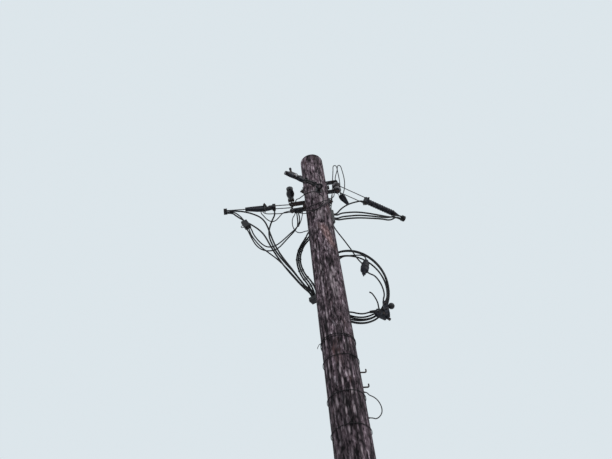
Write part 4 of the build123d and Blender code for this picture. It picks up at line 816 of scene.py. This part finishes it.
# Fittings. The spans' lines have a start, an azimuth and a slope, the last two in degrees.
D_IRON_TOP = 5.884
CLEVIS_TOP = 5.641
SPOOL_X = pole_radius(D_IRON_TOP) + 0.088
CLEVIS_X = -pole_radius(CLEVIS_TOP) - 0.122
LEFT_LINE = ((CLEVIS_X, 0, 5.614), -171, 4)
FRONT_LINE = (outward(*THROUGH_BOLTS[0], 0.049) + bearing(-142) * 0.023, -142, 4)
EGG_LINE = ((CLEVIS_X, 0, 5.6453), -88, 0)
RIGHT_LINE = ((SPOOL_X, 0, 5.787), 36, 4)
DOWN = (0, 0, -1)
FRONT = (0, -1, 0)
WASHER_THICKNESS = 0.0018
PITCH = 0.002
SHARP_ANGLE = radians(38)


def line_axes(line):
    """The directions along, to the side of and above a span's line."""
    _, azimuth, slope = line
    run = bearing(azimuth) * cos(radians(slope)) - Vector((0, 0, sin(radians(slope))))
    side = bearing(azimuth - 90)
    return run, side, side.cross(run)


def on_line(line, distance, rise=0.0, side=0.0):
    run, sideways, up = line_axes(line)
    return Vector(line[0]) + run * distance + up * rise + sideways * side


def tilted(angle):
    """X and minus Z, turned about Y."""
    c, s = cos(radians(angle)), sin(radians(angle))
    return Vector((c, 0, s)), Vector((s, 0, -c))


def circle(steps, start=0.0):
    """The angle, cosine and sine at even steps round a circle."""
    for step in range(steps):
        angle = TURN * (step + start) / steps
        yield angle, cos(angle), sin(angle)


def lathe_into(mesh, start, run, profile, segments=20):
    """A turned form: the profile gives distances along the axis and radii."""
    start, run = Vector(start), Vector(run).normalized()
    u = run.orthogonal().normalized()
    v = run.cross(u)
    rings = []
    for distance, radius in profile:
        centre = start + run * distance
        if radius:
            rings.append([mesh.verts.new(centre + (u * c + v * s) * radius) for _, c, s in circle(segments)])
        else:
            rings.append([mesh.verts.new(centre)])
    for first, second in zip(rings, rings[1:]):
        join_rings(mesh, first, second)


def sweep_into(mesh, points, radius, sides=8, closed=False):
    """A rod bent through points."""
    points = [Vector(point) for point in points]
    last = len(points) - 1
    turned = None
    rings = []
    for index, point in enumerate(points):
        if closed:
            ahead, behind = points[(index + 1) % len(points)], points[index - 1]
        else:
            ahead, behind = points[min(index + 1, last)], points[max(index - 1, 0)]
        run = (ahead - behind).normalized()
        if turned is None:
            turned = run.orthogonal().normalized()
        turned = (turned - run * turned.dot(run)).normalized()
        other = run.cross(turned)
        rings.append([
            mesh.verts.new(point + turned * c * radius + other * s * radius) for _, c, s in circle(sides)
        ])
    if not closed:
        mesh.faces.new(reversed(rings[0]))
        mesh.faces.new(rings[-1])
    for first, second in zip(rings, rings[1:] + rings[:1] if closed else rings[1:]):
        join_rings(mesh, first, second)


def helix(start, run, radius, length, turns, steps, depth=None, across=None):
    """Points of a winding round an axis; with a depth it winds round an oval."""
    start, run = Vector(start), Vector(run).normalized()
    u = Vector(across).normalized() if across else run.orthogonal().normalized()
    v = run.cross(u)
    points = []
    for step in range(turns * steps + 1):
        angle = TURN * step / steps
        around = u * cos(angle) * radius + v * sin(angle) * (depth or radius)
        points.append(start + run * (length * step / (turns * steps)) + around)
    return points


def plate_into(mesh, centre, x, y, half, edge):
    """A flat plate with chamfered edges on its outer face; x and y are its directions."""
    z = x.cross(y)
    rings = []
    for height, inset in ((-half[2], 0), (half[2] - edge, 0), (half[2], edge)):
        along, across = x * (half[0] - inset), y * (half[1] - inset)
        rings.append([
            mesh.verts.new(Vector(centre) + along * sx + across * sy + z * height)
            for sx, sy in ((-1, -1), (1, -1), (1, 1), (-1, 1))
        ])
    mesh.faces.new(reversed(rings[0]))
    mesh.faces.new(rings[-1])
    for first, second in zip(rings, rings[1:]):
        join_rings(mesh, first, second)


def hex_head_into(mesh, centre, out, radius, height):
    """A washer and a hexagon head."""
    washer, thick = radius * 1.35, WASHER_THICKNESS
    lathe_into(mesh, centre, out, ((0, 0), (0, washer), (thick, washer), (thick, radius)), 24)
    lathe_into(
        mesh, Vector(centre) + Vector(out).normalized() * thick, out,
        ((0, radius), (height - 0.0015, radius), (height, radius * 0.86), (height, 0)), 6,
    )


def threads_into(mesh, start, run, radius, length):
    profile = [(0, radius)]
    for turn in range(int(length / PITCH)):
        profile.append((PITCH * (turn + 0.25), radius + 0.00005))
        profile.append((PITCH * (turn + 0.75), radius + 0.0006))
    profile.append((length, radius + 0.00005))
    lathe_into(mesh, start, run, profile, 16)


def fitting(slot, smooth=True, replaced=(), material=None):
    """Makes the piece whose mesh the function under it fills, and names it after that function."""
    def make(fill):
        mesh = bmesh.new()
        fill(mesh)
        data = mesh_data(mesh, fill.__name__, smooth)
        data.set_sharp_from_angle(angle=SHARP_ANGLE)
        return new_piece(fill.__name__, data, slot, *replaced, material=material)
    return make


@fitting("galvanised")
def bolt_threads(mesh):
    for azimuth, height in THROUGH_BOLTS:
        threads_into(mesh, outward(azimuth + 180, height, 0.0202), bearing(azimuth + 180), 0.008, 0.0115)
    for x, foot in ((SPOOL_X, 5.7168), (CLEVIS_X, 5.531)):
        threads_into(mesh, (x, 0, foot), DOWN, 0.008, 0.0115)
    threads_into(mesh, on_line(FRONT_LINE, 0.269, 0.031), line_axes(FRONT_LINE)[2], 0.006, 0.049)
    for side in (-0.0218, 0.0218):
        threads_into(mesh, on_line(LEFT_LINE, 0.249, 0.0292, side), line_axes(LEFT_LINE)[2], 0.0045, 0.0125)


CONNECTOR = Vector((-0.632, -0.122, 5.3))
CONNECTOR_X, CONNECTOR_Z = tilted(23.6)
TAP_X = tilted(40)[0]


@fitting("galvanised", smooth=False)
def small_bolts(mesh):
    # On the right and left cleats, the tap block, its upright clamp and the bond clip
    for azimuth, level, gap, height, size in (
        (31, 5.39, 0.0325, 5.392, 0.008), (155, 4.5, 0.0605, 4.506, 0.009),
    ):
        spot = bearing(azimuth) * (pole_radius(level) + gap) + Vector((0, 0, height))
        hex_head_into(mesh, spot, bearing(azimuth), size, size - 0.002)
    for along in (-0.026, 0.022):
        spot = (0.352 + along * TAP_X[0], 0.1057, 4.322 - along * TAP_X[2])
        hex_head_into(mesh, spot, FRONT, 0.009, 0.007)
    for height in (4.404, 4.352):
        hex_head_into(mesh, (0.399, 0.1057, height), FRONT, 0.008, 0.007)
    for along in (-0.018, 0.018):
        hex_head_into(mesh, (-pole_radius(5.6) - 0.066 + along, -0.0205, 5.535), FRONT, 0.006, 0.005)
    for across in (-0.019, 0.019):
        for along in (-0.036, 0.036):
            spot = CONNECTOR + Vector((0, -0.0205, 0)) + CONNECTOR_X * across + CONNECTOR_Z * along
            lathe_into(mesh, spot, FRONT, ((0, 0.0032), (0.001, 0.003), (0.0016, 0.0018), (0.0016, 0)), 12)


@fitting("black_plastic", smooth=False)
def connector_lid(mesh):
    centre = CONNECTOR + Vector((0, -0.019, 0))
    plate_into(mesh, centre, CONNECTOR_Z, CONNECTOR_X, (0.042, 0.0235, 0.0016), 0.001)


# The wraps at the ends of the two strands: line, and distance along it
WRAPS = ((LEFT_LINE, 0.588), (RIGHT_LINE, 0.735))
WRAP_DROP = -0.014


@fitting("black_rubber", replaced=("lashing_wraps",))
def end_wraps(mesh):
    for line, start in WRAPS:
        lathe_into(
            mesh, on_line(line, start, WRAP_DROP), line_axes(line)[0],
            ((0, 0), (0, 0.0275), (0.0012, 0.0288), (0.0034, 0.0288), (0.0044, 0.0262), (0.0256, 0.0262),
             (0.0266, 0.0288), (0.0288, 0.0288), (0.03, 0.0275), (0.03, 0)),
            40,
        )


@fitting("galvanised")
def end_wrap_wires(mesh):
    for line, start in WRAPS:
        points = helix(on_line(line, start + 0.005, WRAP_DROP), line_axes(line)[0], 0.0274, 0.02, 6, 28)
        sweep_into(mesh, points, 0.0014, 6)


@fitting("rusty_steel")
def binding_wires(mesh):
    """Wire wound round the egg's bail and the spool."""
    run, side, _ = line_axes(EGG_LINE)
    sweep_into(mesh, helix(on_line(EGG_LINE, 0.03), run, 0.0278, 0.026, 7, 26, 0.0058, side), 0.0016, 6)
    for low, high in ((5.7655, 5.775), (5.799, 5.8085)):
        sweep_into(mesh, helix((SPOOL_X, 0, low), (0, 0, 1), 0.0278, high - low, 3, 30), 0.0016, 6)


@fitting("galvanised", material="wire")
def front_shackle(mesh):
    """Forged shackle round the front link, with the heads of its two pins."""
    points = []
    for _, c, s in circle(32):
        reach = copysign(abs(c) ** 0.7, c)
        points.append(on_line(FRONT_LINE, 0.077 + 0.054 * reach, 0.0185 * s))
    sweep_into(mesh, points, 0.0085, 14, closed=True)
    side = line_axes(FRONT_LINE)[1]
    for distance, half in ((0.128, 0.023), (0.03, 0.018)):
        for sign in (1, -1):
            hex_head_into(mesh, on_line(FRONT_LINE, distance, 0, half * sign), side * sign, 0.0095, 0.008)


@fitting("rusty_steel")
def front_clamp_trim(mesh):
    """Ribs, nose ring and saddle on the front clamp."""
    run, _, up = line_axes(FRONT_LINE)
    for distance, radius in (
        (0.158, 0.0195), (0.196, 0.0192), (0.214, 0.0192), (0.232, 0.0192), (0.322, 0.0175),
    ):
        lathe_into(
            mesh, on_line(FRONT_LINE, distance), run,
            ((0, 0.012), (0, radius - 0.001), (0.001, radius), (0.0045, radius), (0.0055, radius - 0.001),
             (0.0055, 0.012)),
            28,
        )
    lathe_into(
        mesh, on_line(FRONT_LINE, 0.269, 0.014), up,
        ((0, 0.0165), (0.014, 0.0155), (0.04, 0.0105), (0.058, 0.0085), (0.058, 0.004)),
    )


@fitting("galvanised", material="painted_highlight_zinc")
def painted_highlights(mesh):
    """Paler zinc that paints highlights on the front clamp's nose and bolt, and on the clevis pin's washer.
    """
    run, side, _ = line_axes(FRONT_LINE)
    lathe_into(
        mesh, on_line(FRONT_LINE, 0.3335), run,
        ((0, 0.006), (0, 0.0155), (0.0006, 0.0162), (0.0014, 0.0155), (0.0014, 0.006)), 24,
    )
    hex_head_into(mesh, on_line(FRONT_LINE, 0.236, -0.004, -0.0165), -side, 0.0105, 0.009)
    lathe_into(
        mesh, (CLEVIS_X, 0, 5.5452), DOWN,
        ((0, 0.006), (0, 0.0195), (0.0008, 0.02), (0.0022, 0.02), (0.003, 0.0192), (0.003, 0.006)), 28,
    )


# Collars where cables and wires enter a piece; these cord ends lie in the end wraps and have none
IN_WRAPS = {
    "drip_cable_a": "start", "drip_cable_c": "start", "block_lead_in": "start",
    "right_cable_a": "end", "right_cable_b": "end", "right_cable_c": "end",
}


def collars_into(mesh, thick, long):
    for name, (diameter, *_) in CORDS.items():
        if (diameter >= THICK) != thick:
            continue
        radius, points = diameter / 2, [Vector(point) for point in route_of(name)]
        inner = radius + 0.0001
        for place, end, beside in (("start", points[0], points[1]), ("end", points[-1], points[-2])):
            if IN_WRAPS.get(name) == place or (place == "end" and name in BARE_ENDS):
                continue
            outer, reach = radius + 0.0015, long
            if name == "tap_lead" and place == "end":
                outer, reach = radius + 0.0052, 0.034
            neck = outer * 0.93
            lathe_into(
                mesh, end, beside - end,
                ((0, inner), (0, outer), (reach * 0.55, outer), (reach * 0.62, neck), (reach * 0.9, neck),
                 (reach, inner)),
                18,
            )


@fitting("black_rubber")
def cable_collars(mesh):
    collars_into(mesh, True, 0.011)


@fitting("alloy")
def wire_collars(mesh):
    collars_into(mesh, False, 0.008)


def cord_place(name, place):
    """A point on a route and the route's direction there; place 2.5 is midway between points 2 and 3."""
    route = route_of(name)
    index = min(int(place), len(route) - 2)
    first, second = Vector(route[index]), Vector(route[index + 1])
    return first.lerp(second, place - index), (second - first).normalized()


# Where the ties hold the three back cables together: places on the first one's route
TIES = (7.0, 8.5, 9.5, 10.6, 11.5, 12.5)


@fitting("black_plastic")
def cable_ties(mesh):
    steps = 40 * (len(CORDS["back_cable_c"][2]) - 1)
    third = [cord_place("back_cable_c", step / 40)[0] for step in range(steps)]
    for place in TIES:
        first, run = cord_place("back_cable_a", place)
        last = min(third, key=lambda spot: (spot - first).length)
        across = last - first
        across -= run * across.dot(run)
        half = across.length / 2
        across.normalize()
        over = run.cross(across)
        for shift in (-0.0026, 0, 0.0026):
            middle = (first + last) / 2 + run * shift
            points = []
            for _, c, s in circle(28):
                reach = copysign(half, c) if abs(c) > 0.05 else 0
                points.append(middle + across * (reach + 0.0086 * c) + over * 0.0092 * s)
            sweep_into(mesh, points, 0.0014, 6, closed=True)


# Tie wires round the pole, with their distances from its top
TIE_WIRES = (2.242, 2.256, 2.412, 2.690, 2.920)
PIGTAIL = Vector((-0.115, -0.036, 4.006))
STRAND_OFF = 0.0013


@fitting("rusty_steel", replaced=("pole_tie_wires",), material="wire")
def tie_wires(mesh):
    """Two thin strands twisted together, with a pigtail on the upper ones."""
    for number, drop in enumerate(TIE_WIRES):
        height = POLE_TOP - drop
        for strand in (0, pi):
            points = []
            for angle, c, s in circle(400):
                twist = 56 * angle + strand
                sag = 0.003 * sin(angle * 2 + number) + 0.004 * cos(angle + 1.3)
                reach = pole_radius(height) + 0.0029 + STRAND_OFF * cos(twist)
                points.append((reach * c, reach * s, height + sag + STRAND_OFF * sin(twist)))
            sweep_into(mesh, points, 0.0017, 5, closed=True)
    for strand in (0, pi):
        points = []
        for step in range(50):
            share = step / 49
            fall = Vector((-0.004 - 0.026 * share, -0.004 - 0.006 * share, -0.04 * share * share - 0.004))
            twist = 30 * share + strand
            around = Vector((0, cos(twist), sin(twist))) * (0.0012 + 0.002 * share ** 4)
            points.append(PIGTAIL + fall + around)
        sweep_into(mesh, points, 0.0016, 6)


@fitting("grey_plastic", smooth=False)
def splitter_ribs(mesh):
    """Raised grip ribs round the splitter's cap and body."""
    u, down = tilted(-15.5)
    axis = -down
    v = axis.cross(u)
    for _, c, s in circle(14, 0.5):
        out = u * c + v * s
        for low, high, radius in ((0.147, 0.168, 0.0198), (0.062, 0.086, 0.0318)):
            centre = Vector((0.282, 0.112, 4.726)) + axis * (low + high) / 2 + out * (radius + 0.0006)
            plate_into(mesh, centre, axis.cross(out), axis, (0.0022, (high - low) / 2, 0.0014), 0.0008)


# Finishes of the pieces that keep their CAD shape, each with the worn round on its edges
KEPT = {
    "wire": {"front_eye_bolt": 0.0008},
    "rusty_steel": {
        "bracket_bolts": 0.0012, "square_nuts": 0.001, "bracket_pins": 0.001, "left_clevis": 0.0012,
        "drive_hooks": 0,
    },
    "galvanised": {
        "curved_washers": 0.0008, "right_d_iron": 0.0012, "wire_bails": 0, "clamp_bolts": 0.0008,
        "strand_ends": 0, "right_grip_rods": 0,
    },
    "alloy": {
        "left_clamp_jaw": 0.003, "left_clamp_keeper": 0.002, "front_strain_clamp": 0.002,
        "right_strand_clamp": 0.0008, "drop_clamp": 0.002, "left_bond_clip": 0.002, "tap_block": 0.003,
    },
    "pale_glaze": {"spool_insulator": 0.0006},
    "glazed": {"strain_insulator": 0.001},
    "black_plastic": {"cable_cleats": 0.003, "connector_block": 0.0015, "ball_connector": 0.001},
    "grey_plastic": {"splitter_box": 0.0015},
}
for finish, edges in KEPT.items():
    for name, edge in edges.items():
        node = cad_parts[name]
        node.data.materials.clear()
        node.data.materials.append(MATERIALS[finish])
        if edge:
            rounded = node.modifiers.new("worn_edges", "BEVEL")
            rounded.width = edge
            rounded.segments = 2
            rounded.limit_method = "ANGLE"
            rounded.angle_limit = radians(35)


# Floor, world and lamps
def make_floor():
    mesh = bmesh.new()
    bmesh.ops.create_grid(mesh, x_segments=1, y_segments=1, size=150)
    floor = linked("floor", mesh_data(mesh, "floor"))
    material, _, shader = new_material("pale_floor")
    shader.inputs["Base Color"].default_value = (0.74, 0.76, 0.78, 1)
    shader.inputs["Roughness"].default_value = 0.9
    floor.data.materials.append(material)


def make_world():
    """Soft light from all round; the camera and reflections see a paler sky."""
    world = bpy.data.worlds.new("world")
    bpy.context.scene.world = world
    world.use_nodes = True
    tree = world.node_tree
    light = tree.nodes["Background"]
    light.inputs["Color"].default_value = (0.9, 0.94, 1, 1)
    light.inputs["Strength"].default_value = 0.62
    seen = add_node(tree, "ShaderNodeBackground", {"Color": (0.72, 0.79, 0.83, 1), "Strength": 1.0})
    path = add_node(tree, "ShaderNodeLightPath").outputs
    direct = maths(tree, "MAXIMUM", path["Is Camera Ray"], path["Is Glossy Ray"])
    shown = maths(tree, "MAXIMUM", direct, path["Is Transmission Ray"])
    both = add_node(tree, "ShaderNodeMixShader", {0: shown, 1: light.outputs[0], 2: seen.outputs[0]})
    tree.links.new(both.outputs[0], tree.nodes["World Output"].inputs["Surface"])


def make_sun(name, direction, strength, angle):
    data = bpy.data.lights.new(name, "SUN")
    data.energy = strength
    data.angle = radians(angle)
    linked(name, data).rotation_euler = (-Vector(direction)).to_track_quat("-Z", "Y").to_euler()


make_floor()
make_world()
make_sun("key", (0.75, -0.5, 0.6), 1.1, 40)
make_sun("fill", (-0.6, -0.7, 0.3), 0.35, 60)
bpy.context.scene.view_settings.view_transform = "Standard"
